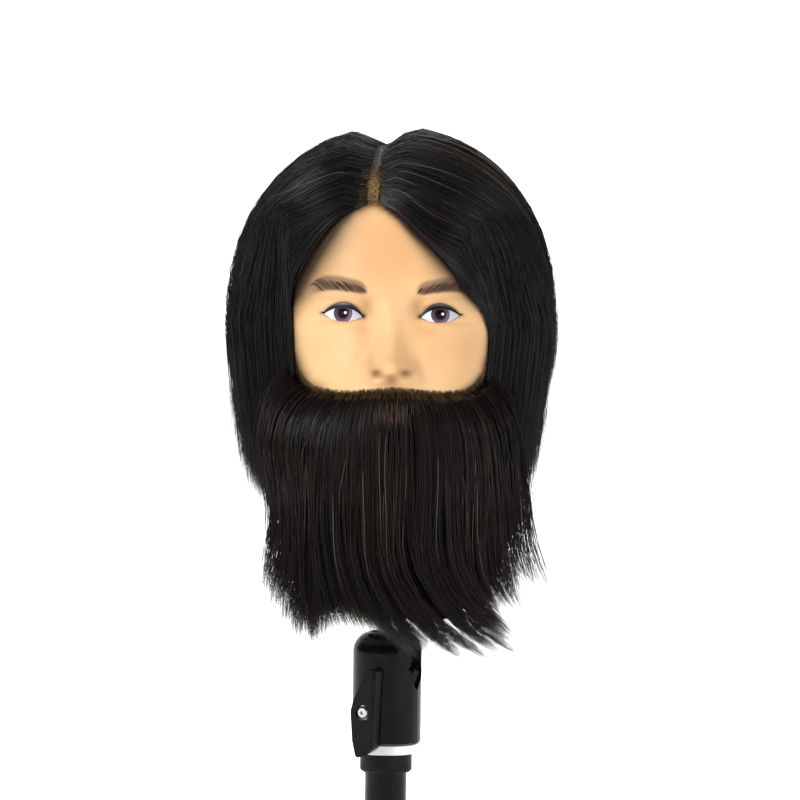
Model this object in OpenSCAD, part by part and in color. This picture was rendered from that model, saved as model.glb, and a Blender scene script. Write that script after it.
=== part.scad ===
/* [Pole and collar] */
// Outside diameter of the pole (one-inch tube)
pole_d = 25.4; // [22:0.1:28]
// Wall thickness of the pole tube
pole_wall = 1.5; // [1:0.1:2.5]
// Length of pole below the collar
pole_len = 79; // [60:1:120]
// Outside diameter of the moulded collar
collar_d = 31.6; // [31:0.1:36]
// Height of the collar
collar_h = 12; // [10:1:16]
// Outside diameter of the aluminium ring
ring_d = 41; // [36:0.5:42]
// Height of the aluminium ring
ring_h = 6; // [4:0.5:8]

/* [Ball housing] */
// Outside diameter of the housing
housing_d = 42; // [42:0.5:46]
// Height of the housing
housing_h = 66.4; // [65:0.1:72]
// Radius of the rounded shoulder
shoulder_r = 12; // [8:0.5:13]
// Turn of the bolt and lever away from straight ahead
holder_turn = -30; // [-45:1:0]
// Diameter of the ball
ball_d = 30; // [28:0.1:31]
// Diameter of the ball's steel stem
stem_d = 12; // [10:0.1:12.5]
// Height of the ball's centre above the housing's foot
ball_up = 48.8; // [47:0.1:50]
// Height of the clamp bolt above the housing's foot
bolt_up = 19.6; // [18:0.1:21]

/* [Lever] */
// Thickness of the lever
lever_t = 7.8; // [6:0.1:9]
// Half the length of the lever
lever_reach = 27; // [24:0.5:30]
// Number of thumb ridges
ridge_count = 6; // [3:1:7]

/* [Neck plug] */
// Diameter of the plug at its foot
plug_foot_d = 31; // [29:0.1:33]
// Diameter of the plug at its top
plug_top_d = 26; // [24:0.1:28]
// Length of the tapered plug
plug_len = 70; // [60:1:75]

/* [Head] */
// Half the width of the head above the ears
head_a = 72; // [68:0.5:76]
// Distance from the head's middle to the face at eye height
head_f = 86; // [80:0.5:90]
// Distance from the head's middle to the back of the skull
head_b = 96; // [90:0.5:100]
// Height of the skull above eye height
head_up = 104; // [98:0.5:106]
// Wall thickness of the vinyl skin
skin_t = 4.5; // [3.5:0.1:6]
// Height of eye level above the pole's foot
eye_z = 355; // [350:1:358]

/* [Hair] */
// Half the width of the hair at eye height
hair_a = 101.5; // [96:0.5:104]
// Distance from the middle to the front of the hair
hair_f = 98; // [96:0.5:102]
// Distance from the middle to the back of the hair
hair_b = 120; // [110:0.5:124]
// Height of the hair above eye height
hair_up = 117; // [112:0.5:120]
// Height of the side hair's lower edge
side_hem_z = 240; // [235:1:260]
// Height of the back hair's lower edge
back_hem_z = 226; // [215:1:240]
// Height of the beard's upper edge
beard_top_z = 309; // [305:1:311]

/* [Hidden] */
$fn = 72;
cut = 0.01;
slip = 0.05;
run = 0.1;

// Pole, collar and ring: each height is the foot of the next piece
collar_z = pole_len;
pole_top_z = collar_z + 6.8;
spigot_r = pole_d / 2 - 0.3;
ring_z = collar_z + collar_h;
washer_z = ring_z + ring_h;
washer_h = 0.6;
foot_z = washer_z + washer_h + slip;
stud_r = 8;
stud_plug_r = pole_d / 2 - pole_wall - slip;
stud_plug_z = collar_z - 18;
stud_head_r = 11;
stud_head_z = foot_z + 6.4;
stud_head_h = 5;

// Housing
top_z = foot_z + housing_h;
ball_z = foot_z + ball_up;
bolt_z = foot_z + bolt_up;
housing_r = housing_d / 2;
ball_r = ball_d / 2;
stem_r = stem_d / 2;
seat_z = foot_z + 28.6;
seat_h = 13.6;
mouth_r = 11;
slot_r = stem_r + 0.7;
split = 0.2;

// Clamp bolt, nut and housing screws
bolt_r = 2;
bolt_head_r = 3.8;
bolt_head_h = 2.2;
nut_flats = 7;
nut_h = 3.2;
nut_y = 14.5;
screw_r = 1.5;
screw_x = 15;
screw_up = 4.6;

// Lever, measured from the housing's axis
lever_back = housing_r + 0.7;
lever_face = lever_back + lever_t;
counterbore_r = 4.7;
counterbore_h = 3.2;
lever_washer_h = 0.8;

// Stem, plug and socket
flange_z = ball_z + 23.6;
flange_h = 3;
flange_r = 10;
plug_z = flange_z + flange_h + slip;
plug_flange_r = 19;
plug_flange_h = 3.8;
sleeve_t = 2;
plug_top_z = plug_z + plug_flange_h + plug_len;
stem_top_z = plug_top_z - 3;
socket_z = plug_z + plug_flange_h + run;
socket_gap = 0.2;
socket_r = 24;
socket_flange_r = 36;
socket_flange_h = 3;
socket_top_z = plug_top_z + 11;
socket_screw_at = 30.5;
socket_screw_r = 1.8;

// Head: half width, front and back of the head at each height up to the eyes
neck_z = socket_z + socket_flange_h + slip;
neck_floor = 6;
HEAD_ROWS = [[neck_z, 52, 44, 60], [200, 50, 42, 58], [225, 50, 44, 58],
    [240, 51, 56, 59], [249, 53, 76, 60], [258, 56, 88, 62], [268, 59, 90, 65],
    [284, 63, 89, 71], [298, 66, 92, 77], [310, 68, 90, 83], [326, 70, 88, 90],
    [342, 71, 86, 94], [eye_z, head_a, head_f, head_b]];
SIDE_ROWS = [[225, 78], [240, 81], [263, 87], [285, 92], [307, 96], [322, 97.5],
    [337, 100], [355, hair_a]];
// Half width, front and back of the space inside the hair where it hangs free of the head
HANG_ROWS = [[226, 60, 62, 66], [250, 65, 70, 68], [285, 67, 86, 72], [310, 67, 86, 72]];
section_power = 0.9;
skull_power = 2.6;
hair_power = 2.05;

function curl(v, p) = sign(v) * pow(abs(v), p);

// Point of a head-like cross-section at an azimuth counted from straight ahead
function section(a, f, b, az) =
    [a * curl(sin(az), section_power), -(cos(az) > 0 ? f : b) * curl(cos(az), section_power)];

// Share of the widest section that is left at a height above eye level
function dome_share(rise, n) = pow(max(0, 1 - pow(rise, n)), 1 / n);

// Height of a dome over a point in plan
function dome_z(x, y, a, f, b, up, n) =
    let (
        m = 2 / section_power,
        along = y < 0 ? f : b,
        k = pow(pow(abs(x) / a, m) + pow(abs(y) / along, m), 1 / m)
    )
    eye_z + up * pow(max(0, 1 - pow(min(k, 1), n)), 1 / n);

function column(rows, i) = [for (r = rows) [r[0], r[i]]];

// How far the nose stands out of the face
function nose(x, z) =
    let (
        ridge = lookup(z, [[309, 0], [313, 5], [318, 15], [324, 15], [334, 9], [348, 3], [358, 0]]),
        half = lookup(z, [[309, 14], [320, 13], [334, 8], [358, 6]])
    )
    ridge * exp(-pow(x / half, 2));

// Point of the vinyl skin, moved in by a thickness
function skin_point(az, z, inset) =
    let (
        share = z > eye_z ? dome_share((z - eye_z) / (head_up - inset), skull_power) : 1,
        a = z > eye_z ? head_a : lookup(z, column(HEAD_ROWS, 1)),
        f = z > eye_z ? head_f : lookup(z, column(HEAD_ROWS, 2)),
        b = z > eye_z ? head_b : lookup(z, column(HEAD_ROWS, 3)),
        p = section((a - inset) * share, (f - inset) * share, (b - inset) * share, az),
        out = inset > 0 || cos(az) < 0.4 ? 0 : nose(p[0], z)
    )
    [p[0], p[1] - out, z];

// Closed stack of level rings, each with the same number of points, capped with fans
module stack(rows) {
    rings = len(rows);
    sides = len(rows[0]);
    foot = rings * sides;
    function middle(row) = [for (k = [0 : 2]) (row[0][k] + row[sides / 2][k]) / 2];
    polyhedron(
        points = concat([for (r = rows) each r], [middle(rows[0]), middle(rows[rings - 1])]),
        faces = [
            for (i = [0 : sides - 1])
                let (j = (i + 1) % sides, top = foot - sides)
                each [[foot, i, j], [foot + 1, top + j, top + i]],
            for (r = [0 : rings - 2], i = [0 : sides - 1])
                let (j = (i + 1) % sides, low = r * sides, high = low + sides)
                each [[high + j, high + i, low + i], [low + j, high + j, low + i]]
        ]);
}

// Faces of a closed slab between an outer and an inner grid of points
function slab_faces(rows, cols) =
    let (
        n = rows * cols,
        quads = [for (r = [0 : rows - 2], c = [0 : cols - 2])
            [r * cols + c, r * cols + c + 1, (r + 1) * cols + c + 1, (r + 1) * cols + c]],
        rim = concat(
            [for (c = [0 : cols - 2]) c],
            [for (r = [0 : rows - 2]) r * cols + cols - 1],
            [for (c = [cols - 1 : -1 : 1]) (rows - 1) * cols + c],
            [for (r = [rows - 1 : -1 : 1]) r * cols])
    )
    concat(
        [for (q = quads) each [[q[0], q[1], q[2]], [q[0], q[2], q[3]]]],
        [for (q = quads) each [[n + q[2], n + q[1], n + q[0]], [n + q[3], n + q[2], n + q[0]]]],
        [for (i = [0 : len(rim) - 1])
            let (p = rim[i], q = rim[(i + 1) % len(rim)])
            each [[q, p, n + p], [q, n + p, n + q]]]);

// turned is true where the grid runs the other way round
module slab(outer, inner, turned) {
    faces = slab_faces(len(outer), len(outer[0]));
    polyhedron(points = concat([for (r = outer) each r], [for (r = inner) each r]),
        faces = turned ? [for (f = faces) [f[2], f[1], f[0]]] : faces);
}

// Everything on the holder that is turned to face the lever
module holder_frame() {
    rotate([0, 0, holder_turn]) children();
}

// A cylinder along the bolt's axis from one distance in front of it to another
module along_bolt(from_y, to_y, r, x = 0, z = bolt_z) {
    translate([x, to_y, z]) rotate([90, 0, 0]) cylinder(r = r, h = to_y - from_y);
}

// The pole is turned down where the collar is pressed on
module pole_tube() {
    color("#161618") difference() {
        union() {
            cylinder(d = pole_d, h = collar_z);
            cylinder(r = spigot_r, h = pole_top_z);
        }
        translate([0, 0, -cut]) cylinder(d = pole_d - 2 * pole_wall, h = pole_top_z + 2 * cut);
    }
}

module pole_collar() {
    chamfer = 1.2;
    color("#26272a") difference() {
        translate([0, 0, collar_z]) rotate_extrude() polygon([[0, 0], [collar_d / 2 - chamfer, 0],
            [collar_d / 2, chamfer], [collar_d / 2, collar_h], [0, collar_h]]);
        translate([0, 0, collar_z - cut])
            cylinder(r = spigot_r + slip, h = pole_top_z - collar_z + slip + cut);
        translate([0, 0, collar_z]) cylinder(r = stud_r + slip, h = collar_h + cut);
    }
}

module pan_stud() {
    color("#9a9ca0") {
        translate([0, 0, stud_plug_z]) cylinder(r = stud_plug_r, h = pole_top_z - stud_plug_z);
        translate([0, 0, pole_top_z - cut]) cylinder(r = stud_r, h = stud_head_z - pole_top_z + 2 * cut);
        translate([0, 0, stud_head_z]) cylinder(r = stud_head_r, h = stud_head_h);
    }
}

module clamp_ring() {
    edge = 0.6;
    r = ring_d / 2;
    color("#d7d9dc") difference() {
        translate([0, 0, ring_z]) rotate_extrude() polygon([[0, 0], [r - edge, 0], [r, edge],
            [r, ring_h - edge], [r - edge, ring_h], [0, ring_h]]);
        translate([0, 0, ring_z - cut]) cylinder(r = stud_r + slip, h = ring_h + 2 * cut);
    }
}

module pan_washer() {
    color("#e8e4d8") difference() {
        translate([0, 0, washer_z]) cylinder(r = ring_d / 2 - 2, h = washer_h);
        translate([0, 0, washer_z - cut]) cylinder(r = stud_r + slip, h = washer_h + 2 * cut);
    }
}

module housing_solid() {
    shoulder_z = top_z - shoulder_r;
    rim_r = housing_r - shoulder_r;
    rotate_extrude() union() {
        translate([0, foot_z]) square([housing_r, shoulder_z - foot_z]);
        translate([0, shoulder_z - cut]) square([rim_r, shoulder_r + cut]);
        translate([rim_r, shoulder_z]) intersection() {
            circle(r = shoulder_r);
            square(shoulder_r + cut);
        }
    }
}

// Flared lead-in below the slot, cut as a tilted square bar
module slot_flare() {
    translate([ball_r + 2.3, 0, ball_z - 7]) rotate([0, -14, 0]) rotate([45, 0, 0])
        translate([0, -7.6, -7.6]) cube([housing_r, 15.2, 15.2]);
}

module housing_hollow() {
    translate([0, 0, foot_z - cut]) cylinder(r = stud_r + run, h = stud_head_z - foot_z);
    translate([0, 0, stud_head_z - run])
        cylinder(r = stud_head_r + run, h = stud_head_h + 2 * run);
    translate([0, 0, ball_z]) sphere(r = ball_r + run);
    translate([0, 0, seat_z]) cylinder(r = ball_r + run, h = ball_z - seat_z);
    translate([0, 0, ball_z]) cylinder(r = mouth_r, h = top_z - ball_z + cut);
    translate([0, 0, ball_z]) rotate([0, 90, 0]) cylinder(r = slot_r, h = housing_r + 1);
    translate([0, -slot_r, ball_z]) cube([housing_r + 1, 2 * slot_r, top_z - ball_z + 1]);
    slot_flare();
    along_bolt(-housing_r - 1, housing_r + 1, bolt_r + run);
    for (x = [-screw_x, screw_x])
        along_bolt(-10, housing_r, screw_r + run, x, foot_z + screw_up);
    for (x = [-screw_x, screw_x])
        along_bolt(9, housing_r, 3.1, x, foot_z + screw_up);
    translate([0, nut_y - run, bolt_z]) rotate([-90, 0, 0])
        cylinder(d = (nut_flats + 2 * run) / cos(30), h = housing_r, $fn = 6);
}

// One half of the housing: side is -1 for the lever half, 1 for the nut half
module housing_half(side) {
    holder_frame() difference() {
        housing_solid();
        housing_hollow();
        translate([-housing_r - 1, side > 0 ? -housing_r - 1 : -split, foot_z - 1])
            cube([housing_d + 2, housing_r + 1 + split, housing_h + 2]);
    }
}

module housing_front() {
    color("#0d0d10") housing_half(-1);
}

module housing_rear() {
    color("#0f0f12") housing_half(1);
}

module ball_seat() {
    color("#dcd8cc") difference() {
        translate([0, 0, seat_z]) cylinder(r = ball_r, h = seat_h);
        translate([0, 0, ball_z]) sphere(r = ball_r + run);
    }
}

module clamp_nut() {
    color("#b9bbc0") holder_frame() difference() {
        translate([0, nut_y, bolt_z]) rotate([-90, 0, 0])
            cylinder(d = nut_flats / cos(30), h = nut_h, $fn = 6);
        along_bolt(nut_y - 1, nut_y + nut_h + 1, bolt_r + run);
    }
}

module housing_screws() {
    color("#3a3b3f") holder_frame() for (x = [-screw_x, screw_x]) difference() {
        union() {
            along_bolt(-9.5, 9 + cut, screw_r, x, foot_z + screw_up);
            along_bolt(9, 11, 2.8, x, foot_z + screw_up);
        }
        translate([x, 12, foot_z + screw_up]) rotate([90, 0, 0]) cylinder(d = 2.2, h = 2.4, $fn = 6);
    }
}

// Outline of the lever, as corner circles around the bolt; flare widens the thumb side
module lever_outline(flare) {
    k = lever_reach / 27;
    hull() {
        for (p = [[4.6 + flare, 24.4], [-4, 7.3], [-6, 0.5], [-4.6, -17], [-2.5, -25], [4 + flare / 2, -20]])
            translate([p[0], p[1] * k]) circle(r = 2, $fn = 32);
    }
}

module lever_blank() {
    face = 1.2;
    hull() {
        linear_extrude(lever_t - face) lever_outline(2.6);
        translate([0, 0, lever_t - cut]) linear_extrude(cut) lever_outline(0);
    }
}

module lever() {
    color("#17181a") holder_frame() difference() {
        union() {
            translate([0, -lever_back, bolt_z]) rotate([90, 0, 0]) lever_blank();
            for (i = [0 : ridge_count - 1])
                translate([6.9, -lever_back - 2, bolt_z + 4.5 + 3.1 * i])
                    rotate([55, 0, -14]) cylinder(r = 0.85, h = 6.6, $fn = 24);
        }
        along_bolt(-lever_face - 1, -lever_back + 1, bolt_r + run);
        along_bolt(-lever_face - 1, -lever_face + counterbore_h, counterbore_r);
    }
}

module lever_washer() {
    back = -lever_face + counterbore_h - slip;
    color("#c9cbd0") holder_frame() difference() {
        along_bolt(back - lever_washer_h, back, bolt_head_r + 0.6);
        along_bolt(back - 2, back + 1, bolt_r + run);
    }
}

module clamp_bolt() {
    under = -lever_face + counterbore_h - lever_washer_h - 2 * slip;
    color("#d4d6da") holder_frame() difference() {
        union() {
            along_bolt(under - cut, nut_y + nut_h + 0.6, bolt_r);
            intersection() {
                along_bolt(under - bolt_head_h, under, bolt_head_r);
                translate([0, under + 1.1, bolt_z]) sphere(r = 4.3);
            }
        }
        translate([0, under - bolt_head_h + 1.3, bolt_z]) rotate([90, 0, 0])
            cylinder(d = 2.5 / cos(30), h = 3, $fn = 6);
    }
}

module ball() {
    color("#2b2c30") difference() {
        translate([0, 0, ball_z]) sphere(r = ball_r);
        translate([0, 0, ball_z + 3]) cylinder(r = stem_r + slip, h = ball_r);
    }
}

module stem() {
    color("#b4b6ba") {
        translate([0, 0, ball_z + 3 + slip]) cylinder(r = stem_r, h = stem_top_z - ball_z - 3 - slip);
        translate([0, 0, flange_z]) cylinder(r = flange_r, h = flange_h);
    }
}

// Radius of the plug at a height above its flange
function plug_r(h) = (plug_foot_d + (plug_top_d - plug_foot_d) * h / plug_len) / 2;

module plug_core() {
    foot = plug_z + plug_flange_h;
    color("#1d1e21") difference() {
        union() {
            translate([0, 0, plug_z]) cylinder(r = plug_flange_r, h = plug_flange_h);
            translate([0, 0, foot - cut])
                cylinder(r1 = plug_r(0) - sleeve_t, r2 = plug_r(plug_len) - sleeve_t, h = plug_len + cut);
        }
        translate([0, 0, plug_z - cut]) cylinder(r = stem_r + slip, h = stem_top_z - plug_z + run);
        translate([0, 0, stem_top_z - 1]) cylinder(r = screw_r * 2 + run, h = 8);
    }
}

// Rubber sleeve with grip beads round the plug
module plug_sleeve() {
    beads = 5;
    low = 8;
    high = plug_len - 4;
    color("#2a2a2a") translate([0, 0, plug_z + plug_flange_h]) rotate_extrude() difference() {
        union() {
            polygon([[plug_r(low) - sleeve_t + slip, low], [plug_r(low) - 0.5, low],
                [plug_r(high) - 0.5, high], [plug_r(high) - sleeve_t + slip, high]]);
            for (i = [0 : beads - 1])
                let (h = low + 4 + i * (high - low - 8) / (beads - 1))
                translate([plug_r(h) - 1.1, h]) circle(r = 1);
        }
        polygon([[0, low - 1], [plug_r(low - 1) - sleeve_t + slip, low - 1],
            [plug_r(high + 1) - sleeve_t + slip, high + 1], [0, high + 1]]);
    }
}

module plug_screw() {
    color("#c0c2c6") difference() {
        union() {
            translate([0, 0, stem_top_z + run]) cylinder(r = screw_r * 2, h = 3);
            translate([0, 0, plug_top_z + slip]) cylinder(r = 7, h = 3);
            translate([0, 0, stem_top_z + 2]) cylinder(r = screw_r * 2, h = 3);
        }
        translate([0, 0, plug_top_z + 1.5]) cylinder(d = 5 / cos(30), h = 3, $fn = 6);
    }
}

module head_skin() {
    sides = 60;
    lower = [neck_z, 188, 200, 212, 225, 234, 241, 247, 253, 260, 268, 277, 286, 294, 300, 306,
        310, 314, 318, 322, 327, 333, 340, 348];
    steps = 12;
    upper = [for (i = [0 : steps]) eye_z + head_up * 0.999 * sin(90 * i / steps)];
    heights = concat(lower, upper);
    hollow_low = [neck_z + neck_floor, 205, 225, 240, 252, 265, 285, 305, 330, eye_z];
    hollow = concat(hollow_low, [for (i = [1 : 7]) eye_z + (head_up - skin_t) * 0.99 * sin(90 * i / 7)]);
    turn = 360 / sides;
    color("#f3bd86") difference() {
        stack([for (z = heights) [for (i = [0 : sides - 1]) skin_point(-turn * i, z, 0)]]);
        stack([for (z = hollow) [for (i = [0 : 31]) skin_point(-360 / 32 * i, z, skin_t)]]);
        translate([0, 0, neck_z - 1]) cylinder(r = socket_r + slip, h = neck_floor + 2);
        for (i = [0 : 2]) rotate([0, 0, 120 * i + 60]) translate([socket_screw_at, 0, neck_z - 1])
            cylinder(r = socket_screw_r + run, h = neck_floor + 2);
    }
}

module neck_socket() {
    bore_h = plug_len + 4;
    foot = plug_z + plug_flange_h;
    color("#e9e6de") difference() {
        union() {
            translate([0, 0, socket_z]) cylinder(r = socket_flange_r, h = socket_flange_h);
            translate([0, 0, socket_z + cut]) cylinder(r = socket_r, h = socket_top_z - socket_z);
        }
        translate([0, 0, foot]) cylinder(r1 = plug_r(0) + socket_gap,
            r2 = plug_r(bore_h) + socket_gap, h = bore_h);
        for (i = [0 : 2]) rotate([0, 0, 120 * i + 60]) translate([socket_screw_at, 0, socket_z - 1])
            cylinder(r = socket_screw_r + run, h = socket_flange_h + 2);
    }
}

module socket_screws() {
    color("#b8babe") for (i = [0 : 2]) rotate([0, 0, 120 * i + 60])
        translate([socket_screw_at, 0, socket_z]) difference() {
            union() {
                translate([0, 0, -2 - slip]) cylinder(r = 3.2, h = 2);
                translate([0, 0, -1]) cylinder(r = socket_screw_r, h = 9);
            }
            for (a = [0, 90]) rotate([0, 0, a]) translate([-2, -0.4, -3]) cube([4, 0.8, 2]);
        }
}

// Parting line in plan, from the brow (u = 0) to the crown (u = 1)
part_front = [-12, -79];
part_back = [2, 40];
hair_gap = 1.6;
front_az = 58;
back_az = 128;
grid_u = 14;
over_steps = 9;
fall_steps = 9;

// Hair's edge over the forehead in front view, from the parting to the temple in nine
// equal steps: distance from the middle and height above eye level
LEFT_EDGE = [[-12, 64], [-23, 59], [-32, 51.5], [-39.5, 41.5], [-46, 31.5], [-51, 22.5],
    [-55, 15], [-58, 9], [-60, 4.5]];
RIGHT_EDGE = [[-12, 64], [-4, 60], [4, 54], [12, 46], [20, 38.5], [28, 30.5],
    [36, 22.5], [44, 15], [53, 7.5]];
edge_blend = 2.5;
edge_lift = [0.03, 0.11];

// Distance of the face in front of the middle at a point in front view
function face_y(x, z, a, f, up) =
    let (share = dome_share((z - eye_z) / up, skull_power), m = 2 / section_power)
    -f * share * pow(max(0, 1 - pow(abs(x) / (a * share), m)), 1 / m);

// Inner surface of the hair below eye level: clear of the skin, or hanging free of it
function under_hair(az, z) =
    let (size = [for (i = [1 : 3])
        max(lookup(z, column(HEAD_ROWS, i)) + hair_gap, lookup(z, column(HANG_ROWS, i)))])
    section(size[0], size[1], size[2], az);

// Point in plan on the hair's edge, on the skin or lifted off it
function edge_plan(side, i, outside) =
    let (
        e = (side < 0 ? LEFT_EDGE : RIGHT_EDGE)[i],
        y = face_y(e[0], eye_z + e[1], head_a + hair_gap, head_f + hair_gap, head_up + hair_gap),
        lift = outside ? 1 + edge_lift[0] + edge_lift[1] * i / over_steps : 1
    )
    [e[0] + side * 0.5, y] * lift;

// Column of points from the parting over the side of the head and down to the hem
function hair_column(side, u, outside) =
    let (
        az = side * (front_az + (back_az - front_az) * u),
        t = part_front + (part_back - part_front) * u + [side * 0.5, 0],
        t0 = part_front + [side * 0.5, 0],
        a = outside ? hair_a : head_a + hair_gap,
        f = outside ? hair_f : head_f + hair_gap,
        b = outside ? hair_b : head_b + hair_gap,
        up = outside ? hair_up : head_up + hair_gap,
        n = outside ? hair_power : skull_power,
        s = section(a, f, b, az),
        s0 = section(a, f, b, side * front_az),
        w = pow(1 - u, edge_blend)
    )
    concat(
        [for (i = [0 : over_steps - 1])
            let (
                swing = sin(90 * i / over_steps),
                q = t + (s - t) * swing + (edge_plan(side, i, outside) - t0 - (s0 - t0) * swing) * w,
                dip = outside ? 7 * exp(-pow((q[0] - t[0]) / 7, 2)) : 0
            )
            [q[0], q[1], dome_z(q[0], q[1], a, f, b, up, n) - dip]],
        [for (i = [0 : fall_steps])
            let (
                z = eye_z - (eye_z - side_hem_z) * i / fall_steps,
                p = outside ? s * lookup(z, SIDE_ROWS) / hair_a : under_hair(az, z)
            )
            [p[0], p[1], z]]);

function hair_grid(side, outside) =
    let (columns = [for (c = [0 : grid_u]) hair_column(side, c / grid_u, outside)])
    [for (r = [0 : len(columns[0]) - 1]) [for (c = columns) c[r]]];

module hair_left() {
    color("#141213") slab(hair_grid(-1, true), hair_grid(-1, false), true);
}

module hair_right() {
    color("#151314") slab(hair_grid(1, true), hair_grid(1, false), false);
}

// Back hair, combed down from the crown between the two side pieces
module hair_back() {
    edge = back_az + 1.5;
    cols = 16;
    function back_column(u, outside) =
        let (
            az = edge + (360 - 2 * edge) * u,
            a = outside ? hair_a : head_a + hair_gap,
            f = outside ? hair_f : head_f + hair_gap,
            b = outside ? hair_b : head_b + hair_gap,
            up = outside ? hair_up : head_up + hair_gap,
            n = outside ? hair_power : skull_power,
            s = section(a, f, b, az),
            t = part_back + [3 - 6 * u, 3]
        )
        concat(
            [for (i = [0 : over_steps - 1])
                let (
                    q = t + (s - t) * sin(90 * i / over_steps),
                    dip = outside ? 7 * exp(-pow(norm(q - t) / 7, 2)) : 0
                )
                [q[0], q[1], dome_z(q[0], q[1], a, f, b, up, n) - dip]],
            [for (i = [0 : fall_steps])
                let (
                    z = eye_z - (eye_z - back_hem_z) * i / fall_steps,
                    wide = lookup(z, [[226, 0.77], [260, 0.85], [300, 0.93], [355, 1]]),
                    p = outside ? s * wide : under_hair(az, z)
                )
                [p[0], p[1], z]]);
    function back_grid(outside) =
        let (columns = [for (c = [0 : cols]) back_column(c / cols, outside)])
        [for (r = [0 : len(columns[0]) - 1]) [for (c = columns) c[r]]];
    color("#131112") slab(back_grid(true), back_grid(false), false);
}

// Beard: a curtain from the cheeks and upper lip down past the chin
beard_az = 56;
beard_a = 96;
beard_f = 99;
BEARD_HEM = [[-56, 205], [-46, 172], [-32, 160], [-14, 163], [0, 162], [16, 164], [30, 165],
    [42, 178], [56, 200]];
BEARD_OUT = [[158, 0.86], [180, 0.93], [210, 1], [250, 1.02], [290, 1], [309, 0.97]];
BEARD_IN = [[158, 0.62], [180, 0.62], [236, 0.66], [246, 0.86], [256, 0.95], [309, 0.92]];

function beard_column(az, outside) =
    let (hem = lookup(az, BEARD_HEM))
    [for (i = [0 : 12])
        let (
            z = beard_top_z - (beard_top_z - hem) * i / 12,
            skin = skin_point(az, z, 0),
            near = skin + [sin(az) * hair_gap, -cos(az) * hair_gap, 0],
            free = section(beard_a, beard_f, beard_f, az) * lookup(z, BEARD_IN),
            full = section(beard_a, beard_f, beard_f, az) * lookup(z, BEARD_OUT),
            over = norm([near[0], near[1]]) > norm(free),
            touch = z > 240 && over ? [near[0], near[1]] : free,
            skinned = z > 256 ? [near[0], near[1]] : touch
        )
        outside ? [full[0], full[1], z] : [skinned[0], skinned[1], z]];

function beard_grid(outside) =
    let (
        cols = 18,
        columns = [for (c = [0 : cols]) beard_column(beard_az * (2 * c / cols - 1), outside)]
    )
    [for (r = [0 : len(columns[0]) - 1]) [for (c = columns) c[r]]];

module beard() {
    color("#1b1514") slab(beard_grid(true), beard_grid(false), false);
}

pole_tube();
pole_collar();
pan_stud();
clamp_ring();
pan_washer();
housing_front();
housing_rear();
ball_seat();
clamp_nut();
housing_screws();
lever();
clamp_bolt();
lever_washer();
ball();
stem();
plug_core();
plug_sleeve();
plug_screw();
head_skin();
neck_socket();
socket_screws();
hair_left();
hair_right();
hair_back();
beard();
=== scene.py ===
import math

import bpy
import numpy as np
from mathutils import Euler, Matrix, Vector


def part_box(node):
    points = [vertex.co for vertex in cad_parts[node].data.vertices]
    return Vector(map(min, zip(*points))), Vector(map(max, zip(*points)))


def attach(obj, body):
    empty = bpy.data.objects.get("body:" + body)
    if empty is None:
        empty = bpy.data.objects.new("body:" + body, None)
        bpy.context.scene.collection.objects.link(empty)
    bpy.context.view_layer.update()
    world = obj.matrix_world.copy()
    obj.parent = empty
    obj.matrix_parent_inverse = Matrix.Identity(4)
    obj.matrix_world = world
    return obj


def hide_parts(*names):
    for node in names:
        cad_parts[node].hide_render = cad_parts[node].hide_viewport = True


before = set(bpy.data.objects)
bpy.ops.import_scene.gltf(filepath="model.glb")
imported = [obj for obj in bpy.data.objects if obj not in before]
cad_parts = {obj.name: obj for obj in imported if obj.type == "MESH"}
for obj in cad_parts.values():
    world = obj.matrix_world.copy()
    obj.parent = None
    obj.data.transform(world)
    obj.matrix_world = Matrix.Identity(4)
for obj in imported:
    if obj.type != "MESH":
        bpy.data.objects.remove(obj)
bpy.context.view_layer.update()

# Shapes are worked out in millimetres. Heights (h) are counted from eye level, and the face
# looks along -Y. An azimuth is counted in degrees from straight ahead, and + is towards +X.
MM = 0.001
HEAD_UP = 104
EYE_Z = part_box("head_skin")[1].z / MM - HEAD_UP
SECTION_POWER = 0.9
SECTION_ROUND = 2 / SECTION_POWER
TURN = 2 * math.pi
SIDES = ((-1, "left"), (1, "right"))


def rgb(red, green, sclera_shade):
    """Linear colour of an sRGB colour given in 0 to 255"""
    c = np.array([red, green, sclera_shade]) / 255
    return tuple(np.where(c <= 0.04045, c / 12.92, ((c + 0.055) / 1.055) ** 2.4).tolist())


def smooth(x, xs, ys):
    """Value at x of a smooth curve through the points (xs, ys), level beyond its ends"""
    xs, ys = np.asarray(xs, float), np.asarray(ys, float)
    slope = np.gradient(ys, xs)
    x = np.clip(x, xs[0], xs[-1])
    i = np.clip(np.searchsorted(xs, x, side="right") - 1, 0, len(xs) - 2)
    width = xs[i + 1] - xs[i]
    t = (x - xs[i]) / width
    return (ys[i] * (1 + 2 * t) * (1 - t) ** 2 + ys[i + 1] * t * t * (3 - 2 * t)
            + width * slope[i] * t * (1 - t) ** 2 - width * slope[i + 1] * t * t * (1 - t))


def ease(x, low=0.0, high=1.0):
    """0 below low, 1 above high, and a smooth step between"""
    t = np.clip((x - low) / (high - low), 0, 1)
    return t * t * (3 - 2 * t)


def blob(x, h, middle_x, middle_h, wide, high):
    """Round hill of height 1 in front view"""
    return np.exp(-((x - middle_x) / wide) ** 2 - ((h - middle_h) / high) ** 2)


# ---------------------------------------------------------------- materials


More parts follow.
